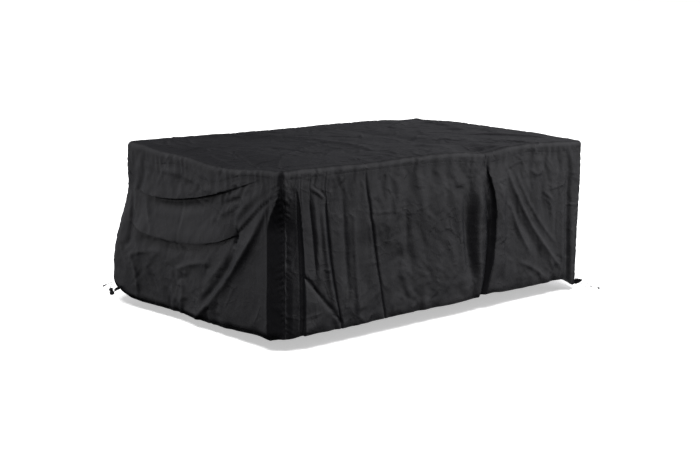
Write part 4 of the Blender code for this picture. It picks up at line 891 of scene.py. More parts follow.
def top_grid(columns):
    """Outer face of the top panel; its rim is the side panels' upper edge.

    Inside the rim each grid line runs straight from rim to rim, and the relief is added.
    """
    nx, ny = LONG_CELLS, SHORT_CELLS
    grid = np.zeros((nx + 1, ny + 1, 3))
    strips = {name: rim_strip(side, columns[name]) for name, side in SIDES.items()}
    for layer in range(RIM + 1):
        span_x = slice(layer, nx - layer + 1)
        span_y = slice(layer, ny - layer + 1)
        grid[span_x, layer] = strips["front"][span_x, layer]
        grid[span_x, ny - layer] = strips["back"][span_x, layer]
        grid[layer, span_y] = strips["left"][span_y, layer]
        grid[nx - layer, span_y] = strips["right"][span_y, layer]
    low, high_x, high_y = RIM, nx - RIM, ny - RIM
    u = (np.arange(low + 1, high_x) - low)[:, None] / (high_x - low)
    w = (np.arange(low + 1, high_y) - low)[None, :] / (high_y - low)
    x = grid[low + 1:high_x, low, 0][:, None] * (1 - w) + grid[low + 1:high_x, high_y, 0][:, None] * w
    y = grid[low, low + 1:high_y, 1][None, :] * (1 - u) + grid[high_x, low + 1:high_y, 1][None, :] * u
    grid[low + 1:high_x, low + 1:high_y] = np.stack([x, y, TOP_LIFT + top_height(x, y)], axis=-1)
    return grid


def cover_grids():
    """Outer faces of the five panels, and the (s, h) of their points."""
    grids, columns, flat = {}, {}, {}
    for name, side in SIDES.items():
        s, h = side_grid(side)
        columns[name] = s[:, 0]
        flat[name] = np.stack([s, h], axis=-1)
        grids[name] = side_point(side, s, h)
    grids["top"] = top_grid(columns)
    flat["top"] = grids["top"][..., :2].copy()
    return grids, flat


# ---------------------------------------------------------------- one cloth out of five grids
FLIPPED = {"front": False, "right": False, "back": True, "left": True, "top": True}


def quads(*corners):
    """Cells from four arrays of corner indices."""
    return np.stack(corners, axis=-1).reshape(-1, 4)


def cells_of(shape, flip):
    """Corner indices of every cell of a grid, facing out."""
    index = np.arange(shape[0] * shape[1]).reshape(shape)
    cells = quads(index[:-1, :-1], index[:-1, 1:], index[1:, 1:], index[1:, :-1])
    return cells[:, ::-1] if flip else cells


def welded(grids):
    """All panels as one cloth: points, cells, and for each panel the index of its points."""
    points = np.concatenate([grid.reshape(-1, 3) for grid in grids.values()])
    keys = np.round(points / 0.0002).astype(np.int64)
    _, first, owner = np.unique(keys, axis=0, return_index=True, return_inverse=True)
    owner = owner.reshape(-1)
    cells, index, start = [], {}, 0
    for name, grid in grids.items():
        count = grid.shape[0] * grid.shape[1]
        index[name] = owner[start:start + count].reshape(grid.shape[:2])
        cells.append(owner[cells_of(grid.shape[:2], FLIPPED[name]) + start])
        start += count
    return points[first], np.concatenate(cells), index


def shared_normals(grids):
    """Normals of all panels as one cloth: the summed crossed diagonals of the cells round a point."""
    points, cells, index = welded(grids)
    corner = points[cells]
    face = np.cross(corner[:, 2] - corner[:, 0], corner[:, 3] - corner[:, 1])
    total = np.zeros_like(points)
    for k in range(4):
        np.add.at(total, cells[:, k], face)
    total /= np.maximum(np.linalg.norm(total, axis=1)[:, None], 1e-12)
    return {name: total[index[name]] for name in grids}


def doubled(field):
    """A grid of vectors at twice the resolution, by the four-point rule along both ways."""
    for axis in (0, 1):
        field = np.moveaxis(field, axis, 0)
        fine = np.zeros((2 * field.shape[0] - 1, *field.shape[1:]))
        fine[::2] = field
        padded = np.concatenate([field[:1], field, field[-1:]])
        fine[1::2] = (9.0 * (padded[1:-2] + padded[2:-1]) - padded[:-3] - padded[3:]) / 16.0
        field = np.moveaxis(fine, 0, axis)
    return field


SETTLE_STEPS = 22        # frames of the cloth simulation
SETTLE_SPARE = -0.006    # its shrinkage: below zero, so that it is too large for its target and buckles
SETTLE_CAP = 0.016       # the furthest that a point may move


def settled(grids):
    """How far each panel's points move when the cover hangs as real cloth.

    Every second grid point of all panels is welded into one cloth a little too large for its
    shape, held softly to it, firmly along the top edge, and let go under light gravity: the
    spare cloth buckles into small natural creases.  The moves are capped and spread back to
    the full grids.
    """
    coarse = {name: grid[::2, ::2] for name, grid in grids.items()}
    points, cells, index = welded(coarse)
    nudge = np.stack([lattice(points * 14.0, SEED["nudge"] + k) for k in range(3)], axis=-1) - 0.5
    start = points + 0.003 * nudge
    mesh = bpy.data.meshes.new("settling_cloth")
    mesh.from_pydata(start.tolist(), [], cells.tolist())
    cloth = bpy.data.objects.new("settling_cloth", mesh)
    bpy.context.scene.collection.objects.link(cloth)
    group = cloth.vertex_groups.new(name="held")
    height = points[:, 2]
    rim = np.exp(-((height + 0.02) / 0.035) ** 2)
    hold = np.clip(0.16 + 0.5 * rim, 0.0, 0.9)
    level = np.round(hold * 40).astype(int)
    for step in np.unique(level):
        group.add(np.nonzero(level == step)[0].tolist(), float(step) / 40.0, "REPLACE")
    modifier = cloth.modifiers.new("cloth", "CLOTH")
    fabric = modifier.settings
    fabric.quality = 6
    fabric.mass = 0.15
    fabric.tension_stiffness = fabric.compression_stiffness = 18.0
    fabric.shear_stiffness = 8.0
    fabric.bending_stiffness = 0.04
    fabric.air_damping = 2.0
    fabric.tension_damping = fabric.compression_damping = 12.0
    fabric.vertex_group_mass = "held"
    fabric.pin_stiffness = 1.2
    fabric.shrink_min = SETTLE_SPARE
    fabric.effector_weights.gravity = 0.15
    modifier.collision_settings.use_collision = False
    modifier.point_cache.frame_start = 1
    modifier.point_cache.frame_end = SETTLE_STEPS + 1
    for step in range(1, SETTLE_STEPS + 1):
        bpy.context.scene.frame_set(step)
    shown = cloth.evaluated_get(bpy.context.evaluated_depsgraph_get())
    moved = np.zeros(len(points) * 3)
    shown.data.vertices.foreach_get("co", moved)
    bpy.context.scene.frame_set(1)
    bpy.data.objects.remove(cloth, do_unlink=True)
    bpy.data.meshes.remove(mesh)
    step = moved.reshape(-1, 3) - points
    size = np.linalg.norm(step, axis=1)[:, None]
    step *= np.minimum(1.0, SETTLE_CAP / np.maximum(size, 1e-9))
    return {name: doubled(step[index[name]]) for name in coarse}


# ================================================================ meshes
def new_mesh_object(name, points, faces, material, sharp=None):
    """A smooth mesh object at the origin; sharp is the angle in degrees past which an edge stays sharp."""
    mesh = bpy.data.meshes.new(name)
    mesh.from_pydata(np.asarray(points).tolist(), [], [tuple(int(v) for v in face) for face in faces])
    mesh.update()
    mesh.shade_smooth()
    if sharp is not None:
        mesh.set_sharp_from_angle(angle=math.radians(sharp))
    mesh.materials.append(material)
    thing = bpy.data.objects.new(name, mesh)
    bpy.context.scene.collection.objects.link(thing)
    return thing


def circle(count, more=0):
    """Angles at even steps, count to the turn, and that many more."""
    return 2.0 * math.pi * np.arange(count + more) / count


def set_uv(mesh, name, u, v):
    """A UV map from the u and v of every vertex, spread over each other where one has fewer ways."""
    values = np.stack(np.broadcast_arrays(u, v), axis=-1).reshape(-1, 2)
    layer = mesh.uv_layers.new(name=name)
    corner = np.zeros(len(mesh.loops), np.int32)
    mesh.loops.foreach_get("vertex_index", corner)
    layer.data.foreach_set("uv", values[corner].astype(np.float32).ravel())


def seam_map(name, grid, flat):
    """(place along the nearest sewn edge, distance from it), measured over the cloth.

    The hem's stitch line, at the top of the doubled hem, counts as the first one beside an edge.
    """
    down = np.linalg.norm(np.diff(grid, axis=1), axis=-1)
    across = np.linalg.norm(np.diff(grid, axis=0), axis=-1)
    from_top = np.concatenate([np.zeros((grid.shape[0], 1)), np.cumsum(down, axis=1)], axis=1)
    from_left = np.concatenate([np.zeros((1, grid.shape[1])), np.cumsum(across, axis=0)])
    to_hem = from_top[:, -1:] - from_top
    to_right = from_left[-1:] - from_left
    if name == "top":
        lower = to_hem
    else:
        lower = np.abs(to_hem - HEM_FOLD) + STITCHES[0]
    level = np.minimum(from_top, lower)
    upright = np.minimum(from_left, to_right)
    along = np.where(level < upright, flat[..., 0], flat[..., 1])
    return along, np.minimum(level, upright)


def panel(name, grid, flat, normals, thickness, material):
    """A closed sheet from the grid of its outer face: an inner face a thickness in, joined by a rim."""
    outer = grid.reshape(-1, 3)
    inner = outer - thickness * normals.reshape(-1, 3)
    count = len(outer)
    cells = cells_of(grid.shape[:2], FLIPPED[name])
    index = np.arange(count).reshape(grid.shape[:2])
    loop = np.concatenate([index[:, 0], index[-1, 1:], index[-2::-1, -1], index[0, -2:0:-1]])
    ahead = np.roll(loop, -1)
    rim = quads(loop, ahead, ahead + count, loop + count)
    if not FLIPPED[name]:
        rim = rim[:, ::-1]
    faces = np.concatenate([cells, cells[:, ::-1] + count, rim])
    points = np.concatenate([outer, inner])
    thing = new_mesh_object(name + "_panel_cloth", points, faces, material, sharp=60.0)
    sheets = np.zeros((2, 1, 1))  # the outer and the inner face have one map
    set_uv(thing.data, "cloth", flat[..., 0] + sheets, flat[..., 1] + sheets)
    along, away = seam_map(name, grid, flat)
    set_uv(thing.data, "stitch", along + sheets, away + sheets)
    return thing


def turned(name, profile, place, axis, material, segments=40, ribs=(0, 0.0)):
    """A body of revolution: each profile row becomes a ring; ribs are (how many, how high)."""
    rows = np.array(profile) / 1000.0
    angle = circle(segments)
    radius = rows[:, 1:2] * (1.0 + ribs[1] * np.maximum(np.cos(ribs[0] * angle), 0.0))
    ring = np.stack([radius * np.cos(angle), radius * np.sin(angle), rows[:, :1] + 0.0 * angle], axis=-1)
    turn = np.array(Vector(axis).to_track_quat("Z", "Y").to_matrix())
    points = ring.reshape(-1, 3) @ turn.T + np.array(place)
    index = np.arange(len(rows) * segments).reshape(len(rows), segments)
    beside = np.roll(index, -1, axis=1)
    walls = quads(index[:-1], beside[:-1], beside[1:], index[1:])
    faces = walls.tolist() + [index[0, ::-1].tolist(), index[-1].tolist()]
    return new_mesh_object(name, points, faces, material, sharp=50.0)


def rings_across(one, two, angle):
    """Unit rings in the planes of two directions at each point of a line."""
    return one[:, None] * np.cos(angle)[:, None] + two[:, None] * np.sin(angle)[:, None]


def tube(name, line, across, radius, material, segments=14):
    """A round tube with closed ends and a UV map; across is a direction at a right angle to its line.

    Each ring lies in the plane of that direction and the one at a right angle to it and the line.
    """
    ahead = np.gradient(line, axis=0)
    ahead /= np.linalg.norm(ahead, axis=1)[:, None]
    one = across - (ahead @ across)[:, None] * ahead
    one /= np.linalg.norm(one, axis=1)[:, None]
    two = np.cross(ahead, one)
    angle = circle(segments, 1)
    points = line[:, None] + radius * rings_across(one, two, angle)
    count = len(line)
    index = np.arange(count * (segments + 1)).reshape(count, segments + 1)
    walls = cells_of(index.shape, False)
    faces = walls.tolist() + [index[0, -2::-1].tolist(), index[-1, :-1].tolist()]
    thing = new_mesh_object(name, points.reshape(-1, 3), faces, material)
    length = np.concatenate([[0.0], np.cumsum(np.linalg.norm(np.diff(line, axis=0), axis=1))])
    set_uv(thing.data, "cloth", length[:, None], angle * radius)
    return thing


def smooth_route(route, spacing):
    """Points at even spacing on the smooth curve through the route's points."""
    points = np.array(route)
    ends = np.concatenate([[2 * points[0] - points[1]], points, [2 * points[-1] - points[-2]]])
    t = np.linspace(0.0, 1.0, 25)[:-1, None]
    p0, p1, p2, p3 = ends[:-3, None], ends[1:-2, None], ends[2:-1, None], ends[3:, None]
    fine = 0.5 * (2 * p1 + (p2 - p0) * t + (2 * p0 - 5 * p1 + 4 * p2 - p3) * t ** 2
                  + (3 * p1 - p0 - 3 * p2 + p3) * t ** 3)
    fine = np.concatenate([fine.reshape(-1, 3), points[-1:]])
    length = np.concatenate([[0.0], np.cumsum(np.linalg.norm(np.diff(fine, axis=0), axis=1))])
    count = max(int(round(length[-1] / spacing)), 2)
    at = np.linspace(0.0, length[-1], count + 1)
    return np.stack([np.interp(at, length, fine[:, k]) for k in range(3)], axis=-1)


def axes_of(out):
    """Out, side and up directions of a hem corner, as rows."""
    out = np.array(out) / np.linalg.norm(out)
    return np.stack([out, [out[1], -out[0], 0.0], [0.0, 0.0, 1.0]])


def tab_rings(rows, out, segments):
    """Oval rings of a tab round its anchor, (sections, segments, 3), from its sections in metres."""
    angle = circle(segments)
    lift = rows[:, 1:2] + rows[:, 2:3] * np.sin(angle)
    thick = rows[:, 3:4] * np.cos(angle)
    local = np.stack([rows[:, :1] + 0.0 * angle, thick, lift], axis=-1)
    return local @ axes_of(out)


def anchor_of(node, sections, out):
    """Where the solid tab's root is: its box's low corner, less that of its rings."""
    rings = tab_rings(np.array(sections) / 1000.0, out, TAB_SEGMENTS).reshape(-1, 3)
    return np.array(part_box(node)[0]) - rings.min(axis=0)


def in_world(anchor, out, places):
    """Points of the Places beside an anchor, in metres."""
    return anchor + np.array(places) / 1000.0 @ axes_of(out)


def tab(name, sections, out, anchor, material):
    """A folded tab of the hem: the sections eased into many oval rings, pinched and crimped."""
    rows = np.array(sections) / 1000.0
    at = np.linspace(rows[0, 0], rows[-1, 0], 60)
    eased = np.stack([at] + [np.interp(at, rows[:, 0], rows[:, k]) for k in (1, 2, 3)], axis=-1)
    kernel = np.array([1.0, 2.0, 3.0, 2.0, 1.0]) / 9.0
    for k in (1, 2, 3):
        wide = np.concatenate([[eased[0, k]] * 2, eased[:, k], [eased[-1, k]] * 2])
        eased[:, k] = np.convolve(wide, kernel, mode="valid")
    segments = 48
    rings = tab_rings(eased, out, segments)
    angle = circle(segments)
    side = axes_of(out)[1]
    pinch = -0.45 * eased[:, 3:4] * np.exp(-(np.sin(angle) / 0.30) ** 2)
    crimp = 0.0006 * np.sin(2.0 * math.pi * at / 0.0085)[:, None] * (0.4 + 0.6 * np.abs(np.sin(angle)))
    rings = rings + ((pinch + crimp) * np.sign(np.cos(angle)))[..., None] * side
    points = rings + anchor
    index = np.arange(rings.shape[0] * segments).reshape(-1, segments)
    beside = np.roll(index, -1, axis=1)
    walls = quads(index[:-1], index[1:], beside[1:], beside[:-1])
    faces = walls.tolist() + [index[0].tolist(), index[-1, ::-1].tolist()]
    thing = new_mesh_object(name, points.reshape(-1, 3), faces, material, sharp=55.0)
    set_uv(thing.data, "cloth", at[:, None], eased[:, 2:3] * np.sin(angle))
    set_uv(thing.data, "stitch", at[:, None], eased[:, 2:3] * (1.0 - np.abs(np.sin(angle))) + 0.004)
    return thing


def knot(name, centre, out, radius, material):
    """An overhand knot pulled tight: a thick three-leaved loop of the cord round the cord's line."""
    t = np.linspace(0.0, 2.0 * math.pi, 97)[:-1]
    along = KNOT_RISE * np.sin(3.0 * t)
    first = KNOT_LOOP * np.sin(t) + KNOT_LEAF * np.sin(2.0 * t)
    second = KNOT_LOOP * np.cos(t) - KNOT_LEAF * np.cos(2.0 * t)
    line = centre + np.stack([along, first, second], axis=-1) @ axes_of(out)
    ahead = np.roll(line, -1, axis=0) - np.roll(line, 1, axis=0)
    ahead /= np.linalg.norm(ahead, axis=1)[:, None]
    away = line - centre
    one = away - (away * ahead).sum(1)[:, None] * ahead
    one /= np.maximum(np.linalg.norm(one, axis=1)[:, None], 1e-9)
    two = np.cross(ahead, one)
    segments = 14
    angle = circle(segments)
    points = (line[:, None] + radius * rings_across(one, two, angle)).reshape(-1, 3)
    index = np.arange(len(line) * segments).reshape(len(line), segments)
    nxt = np.roll(index, -1, axis=0)
    walls = quads(index, np.roll(index, -1, axis=1), np.roll(nxt, -1, axis=1), nxt)
    thing = new_mesh_object(name, points, walls, material)
    set_uv(thing.data, "cloth", (t * 0.004)[:, None], angle * radius)
    return thing


# ================================================================ materials
class Nodes:
    """Short ways to add and link shader nodes in one material."""

    def __init__(self, name):
        self.material = bpy.data.materials.new(name)
        self.material.use_nodes = True
        self.tree = self.material.node_tree
        self.shader = self.tree.nodes["Principled BSDF"]

    def add(self, kind, settings=None, **values):
        """A node of that kind, with its settings and the values or links of its inputs."""
        node = self.tree.nodes.new(kind)
        for key, value in (settings or {}).items():
            setattr(node, key, value)
        for key, value in values.items():
            self.put(node.inputs[key.replace("_", " ")], value)
        return node

    def put(self, socket, value):
        """Links an output to an input, or sets the input to a number or colour."""
        if isinstance(value, bpy.types.NodeSocket):
            self.tree.links.new(value, socket)
        else:
            socket.default_value = value

    def noise(self, vector, scale, detail=4.0, rough=0.55):
        """Smooth noise from 0 to 1, scale cells to the metre."""
        node = self.add("ShaderNodeTexNoise", Vector=vector, Scale=scale, Detail=detail, Roughness=rough)
        return node.outputs[0]

    def fit(self, value, low, high, new_low, new_high):
        """The value moved from one range to another in proportion, and held at its ends."""
        node = self.add("ShaderNodeMapRange", Value=value)
        for index, number in ((1, low), (2, high), (3, new_low), (4, new_high)):
            node.inputs[index].default_value = number
        return node.outputs[0]

    def math(self, operation, first, second=None):
        """One sum of one or two values."""
        node = self.add("ShaderNodeMath", {"operation": operation})
        self.put(node.inputs[0], first)
        if second is not None:
            self.put(node.inputs[1], second)
        return node.outputs[0]

    def blend(self, share, first, second):
        """The first colour at share 0, the second at 1, and their mix between."""
        node = self.add("ShaderNodeMix", {"data_type": "RGBA"})
        self.put(node.inputs[0], share)
        self.put(node.inputs[6], first)
        self.put(node.inputs[7], second)
        return node.outputs[2]

    def bump(self, height, strength, distance, normal=None):
        """A normal tilted by the slope of a height, distance metres high at height 1."""
        node = self.add("ShaderNodeBump", Height=height, Strength=strength, Distance=distance)
        if normal is not None:
            self.put(node.inputs["Normal"], normal)
        return node.outputs[0]

    def uv(self, name):
        """The UV map of that name."""
        return self.add("ShaderNodeUVMap", {"uv_map": name}).outputs[0]

    def split(self, vector):
        """x, y and z of a vector."""
        return self.add("ShaderNodeSeparateXYZ", Vector=vector).outputs


def rgba(colour, factor=1.0):
    """A colour with full alpha, made lighter or darker."""
    return (*[channel * factor for channel in colour], 1.0)


def woven(nodes, uv, period):
    """Height of a plain weave: over-and-under waves of that period in metres along both threads."""
    u, v, _ = nodes.split(uv)
    turns = 2.0 * math.pi / period
    first = nodes.math("SINE", nodes.math("MULTIPLY", u, turns))
    second = nodes.math("SINE", nodes.math("MULTIPLY", v, turns))
    return nodes.math("MULTIPLY", first, second)


def stitched(nodes, uv, offset, half, period):
    """1 on the threads of a stitch line at that distance from the sewn edge, else 0."""
    along, away, _ = nodes.split(uv)
    near = nodes.math("ABSOLUTE", nodes.math("SUBTRACT", away, offset))
    line = nodes.fit(near, half, 0.5 * half, 0.0, 1.0)
    dash = nodes.math("SINE", nodes.math("MULTIPLY", along, 2.0 * math.pi / period))
    return nodes.math("MULTIPLY", line, nodes.fit(dash, -0.75, -0.45, 0.0, 1.0))


def cover_cloth(name, colours):
    """Coated polyester: near black, satin, with a fine weave, small creases and stitched seams."""
    n = Nodes(name)
    place = n.add("ShaderNodeTexCoord").outputs["Object"]
    cloth_uv = n.uv("cloth")
    broad = n.noise(place, 2.6, 5.0, 0.6)
    mottle = n.noise(place, 46.0, 3.0, 0.6)
    tone = n.fit(n.math("ADD", broad, n.math("MULTIPLY", mottle, 0.35)), 0.42, 0.95, 0.0, 1.0)
    colour = n.blend(tone, rgba(colours.cloth, 0.78), rgba(colours.cloth, 1.25))
    middle = colours.cloth_roughness
    rough = n.fit(n.noise(place, 9.0, 5.0, 0.65), 0.3, 0.7, middle - 0.06, middle + 0.07)

    drift = n.add("ShaderNodeTexNoise", Vector=place, Scale=2.4, Detail=1.0)
    bent = n.add("ShaderNodeVectorMath", {"operation": "MULTIPLY_ADD"})
    n.put(bent.inputs[0], drift.outputs["Color"])
    bent.inputs[1].default_value = (0.22, 0.22, 0.22)
    n.put(bent.inputs[2], place)
    mask = n.fit(n.noise(place, 3.1, 2.0, 0.5), 0.42, 0.62, 0.15, 1.0)
    mask = n.math("MULTIPLY", mask, n.fit(n.noise(place, 10.0, 2.0, 0.5), 0.44, 0.58, 0.0, 1.0))
    normal = None
    for scale, strength, distance in ((6.0, 0.40, 0.0045), (15.0, 0.30, 0.0020)):
        cracks = n.add("ShaderNodeTexVoronoi", {"feature": "DISTANCE_TO_EDGE"}, Vector=bent.outputs[0],
                       Scale=scale)
        line = n.math("MULTIPLY", n.fit(cracks.outputs["Distance"], 0.0, 0.10, 1.0, 0.0), mask)
        normal = n.bump(line, strength, distance, normal)
    normal = n.bump(n.noise(bent.outputs[0], 26.0, 5.0, 0.55), 0.5, 0.0030, normal)
    normal = n.bump(woven(n, cloth_uv, 0.0016), 0.35, 0.00012, normal)
    stitch_uv = n.uv("stitch")
    threads = n.math("ADD", *[stitched(n, stitch_uv, away, 0.0009, 0.0042) for away in STITCHES])
    colour = n.blend(n.math("MULTIPLY", threads, 0.5), colour, rgba(colours.cloth, 2.2))
    normal = n.bump(threads, 0.6, 0.0006, normal)
    n.put(n.shader.inputs["Base Color"], colour)
    n.put(n.shader.inputs["Roughness"], rough)
    n.put(n.shader.inputs["Normal"], normal)
    n.shader.inputs["Specular IOR Level"].default_value = colours.cloth_gloss
    n.shader.inputs["Sheen Weight"].default_value = colours.cloth_sheen
    n.shader.inputs["Sheen Roughness"].default_value = 0.45
    n.shader.inputs["Sheen Tint"].default_value = (0.80, 0.84, 1.0, 1.0)
    return n.material


def cord_braid(name, colours):
    """Braided cord: strands that cross each other along both slants; the gaps between them are painted darker
    as shade and their crests a little lighter as painted light.
    """
    n = Nodes(name)
    u, v, _ = n.split(n.uv("cloth"))
    turns = 2.0 * math.pi / 0.0030
    left = n.math("SINE", n.math("MULTIPLY", n.math("ADD", u, v), turns))
    right = n.math("SINE", n.math("MULTIPLY", n.math("SUBTRACT", u, v), turns))
    strands = n.math("MAXIMUM", left, right)
    # painted shade and light: the one braid colour is darkened in the gaps between strands and lightened on
    # their crests
    colour = n.blend(n.fit(strands, -0.4, 1.0, 0.0, 1.0), rgba(colours.braid, 0.35), rgba(colours.braid, 1.2))
    n.put(n.shader.inputs["Base Color"], colour)
    n.put(n.shader.inputs["Normal"], n.bump(strands, 0.7, 0.0003))
    n.shader.inputs["Roughness"].default_value = 0.72
    n.shader.inputs["Sheen Weight"].default_value = 0.2
    return n.material


def moulded_plastic(name, colour, scale):
    """Satin moulded plastic: a fine spark-eroded grain and slightly uneven gloss."""
    n = Nodes(name)
    place = n.add("ShaderNodeTexCoord").outputs["Object"]
    wear = n.noise(place, 60.0, 4.0)
    n.put(n.shader.inputs["Base Color"], n.blend(wear, rgba(colour, 0.8), rgba(colour, 1.5)))
    n.put(n.shader.inputs["Roughness"], n.fit(n.noise(place, 140.0, 3.0), 0.3, 0.7, 0.32, 0.48))
    n.put(n.shader.inputs["Normal"], n.bump(n.noise(place, scale, 2.0), 0.3, 0.0001))
    return n.material


def plain_floor(colour):
    """Pale matt floor with a very faint unevenness."""
    n = Nodes("floor_paint")
    place = n.add("ShaderNodeTexCoord").outputs["Object"]
    n.put(n.shader.inputs["Base Color"], n.blend(n.noise(place, 1.5), rgba(colour, 0.99), rgba(colour)))
    n.shader.inputs["Roughness"].default_value = 0.9
    n.shader.inputs["Specular IOR Level"].default_value = 0.1
    n.shader.inputs["Emission Color"].default_value = rgba(colour)
    n.shader.inputs["Emission Strength"].default_value = FLOOR_GLOW
    return n.material


# ================================================================ what a user may change
class CoverSizes(bpy.types.PropertyGroup):
    """Sizes of the dressed cover."""

    thickness: FloatProperty(name="Cloth thickness", description="Thickness of the coated cloth",
                             default=0.0014, min=0.0005, max=0.003, unit="LENGTH")
    crumple: FloatProperty(name="Crumple", description="Strength of the fine crumpling over all panels",
                           default=1.0, min=0.0, max=3.0, subtype="FACTOR")
    cord_diameter: FloatProperty(name="Cord diameter", description="Diameter of the draw cord",
                                 default=0.003, min=0.002, max=0.004, unit="LENGTH")
    floor_reach: FloatProperty(name="Floor size", description="Half the width of the floor",
                               default=120.0, min=10.0, unit="LENGTH")


class CoverColours(bpy.types.PropertyGroup):
    """Colours and finishes of the dressed cover, and the strength of its lights."""

    cloth: FloatVectorProperty(name="Cloth", description="Colour of the coated cloth", subtype="COLOR",
                               default=(0.0070, 0.0069, 0.0078), min=0.0, max=1.0)
    cloth_roughness: FloatProperty(name="Cloth roughness", description="Middle roughness of the coated cloth",
                                   default=0.40, min=0.1, max=1.0, subtype="FACTOR")
    cloth_gloss: FloatProperty(name="Cloth gloss", description="Strength of the coated cloth's reflection",
                               default=0.50, min=0.0, max=1.0, subtype="FACTOR")
    cloth_sheen: FloatProperty(name="Cloth sheen", description="Strength of the cloth's soft edge glow",
                               default=0.02, min=0.0, max=1.0, subtype="FACTOR")
    braid: FloatVectorProperty(name="Cord", description="Colour of the braided cord", subtype="COLOR",
                               default=SLOT_COLOUR["cord_braid"], min=0.0, max=1.0)
    lock: FloatVectorProperty(name="Cord lock", description="Colour of the cord lock", subtype="COLOR",
                              default=SLOT_COLOUR["lock_plastic"], min=0.0, max=1.0)
    ends: FloatVectorProperty(name="Cord ends", description="Colour of the cord ends", subtype="COLOR",
                              default=SLOT_COLOUR["cord_end_plastic"], min=0.0, max=1.0)
    floor: FloatVectorProperty(name="Floor", description="Colour of the floor", subtype="COLOR",
                               default=(0.92, 0.92, 0.92), min=0.0, max=1.0)
    overhead: FloatProperty(name="Overhead light", description="Strength of the wide light above",
                            default=4.2, min=0.0)
    side: FloatProperty(name="Side light", description="Brightness of the glowing walls",
                        default=0.75, min=0.0)
    ambient: FloatProperty(name="Ambient light", description="Strength of the light from all round",
                           default=0.012, min=0.0)


def sizes():
    """The scene's CoverSizes."""
    return bpy.context.scene.cover_sizes


def colours():
    """The scene's CoverColours."""
    return bpy.context.scene.cover_colours


# ================================================================ operators
def dressed(thing, node):
    """A finished piece that rides on the body in place of that solid."""
    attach(thing, "root")
    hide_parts(node)
    return thing


def even_light(name, place, strength, spread):
    """A light of even strength everywhere, from the direction of a place, spread degrees wide."""
    light = bpy.data.lights.new(name, "SUN")
    light.energy = strength
    light.angle = math.radians(spread)
    thing = bpy.data.objects.new(name, light)
    thing.location = Vector(place).normalized() * 6.0
    thing.rotation_mode = "QUATERNION"
    thing.rotation_quaternion = (-Vector(place)).to_track_quat("-Z", "Y")
    thing.visible_glossy = False
    bpy.context.scene.collection.objects.link(thing)
    return thing


# The studio's wide glowing walls: towards which direction, its share of the side light, and
# the cosines of the angles off that direction where the glow ends and where it is full.
Glow = namedtuple("Glow", "x y z share ends full")
GLOWS = [
    Glow(-0.62, 0.76, 0.4, 0.62, 0.5, 0.96),
    Glow(0.7, -0.63, 0.36, 1.32, 0.6, 0.97),
    Glow(0.9, 0.33, 0.3, 0.23, 0.78, 0.97),
]


def studio_backdrop(look):
    """White for the camera; for the light, dim below, brighter above, and glowing at three sides."""
    world = bpy.data.worlds.new("studio_backdrop")
    world.use_nodes = True
    tree = world.node_tree

    def node(kind, operation, *values):
        """A node of the backdrop with that operation; its inputs are linked or set in order."""
        made = tree.nodes.new(kind)
        made.operation = operation
        for socket, value in zip(made.inputs, values):
            if isinstance(value, bpy.types.NodeSocket):
                tree.links.new(value, socket)
            else:
                socket.default_value = value
        return made

    def ranged(value, low, high, new_low, new_high):
        """The value moved from one range to another along a smooth step."""
        made = tree.nodes.new("ShaderNodeMapRange")
        made.interpolation_type = "SMOOTHSTEP"
        tree.links.new(value, made.inputs[0])
        for index, number in ((1, low), (2, high), (3, new_low), (4, new_high)):
            made.inputs[index].default_value = number
        return made.outputs[0]

    direction = tree.nodes.new("ShaderNodeTexCoord").outputs["Generated"]
    height = node("ShaderNodeVectorMath", "DOT_PRODUCT", direction, (0.0, 0.0, 1.0)).outputs["Value"]
    total = ranged(height, -0.30, 0.60, 0.0, 4.0 * look.ambient)
    for row in GLOWS:
        aim = Vector((row.x, row.y, row.z)).normalized()
        near = node("ShaderNodeVectorMath", "DOT_PRODUCT", direction, tuple(aim)).outputs["Value"]
        glow = ranged(near, row.ends, row.full, 0.0, row.share * look.side)
        total = node("ShaderNodeMath", "ADD", total, glow).outputs[0]
    light = tree.nodes["Background"]
    light.inputs["Color"].default_value = (0.97, 0.96, 1.0, 1.0)
    tree.links.new(total, light.inputs["Strength"])
    seen = tree.nodes.new("ShaderNodeBackground")
    seen.inputs["Color"].default_value = (1.0, 1.0, 1.0, 1.0)
    path = tree.nodes.new("ShaderNodeLightPath")
    mix = tree.nodes.new("ShaderNodeMixShader")
    tree.links.new(path.outputs["Is Camera Ray"], mix.inputs[0])
    tree.links.new(light.outputs[0], mix.inputs[1])
    tree.links.new(seen.outputs[0], mix.inputs[2])
    tree.links.new(mix.outputs[0], tree.nodes["World Output"].inputs["Surface"])
    return world


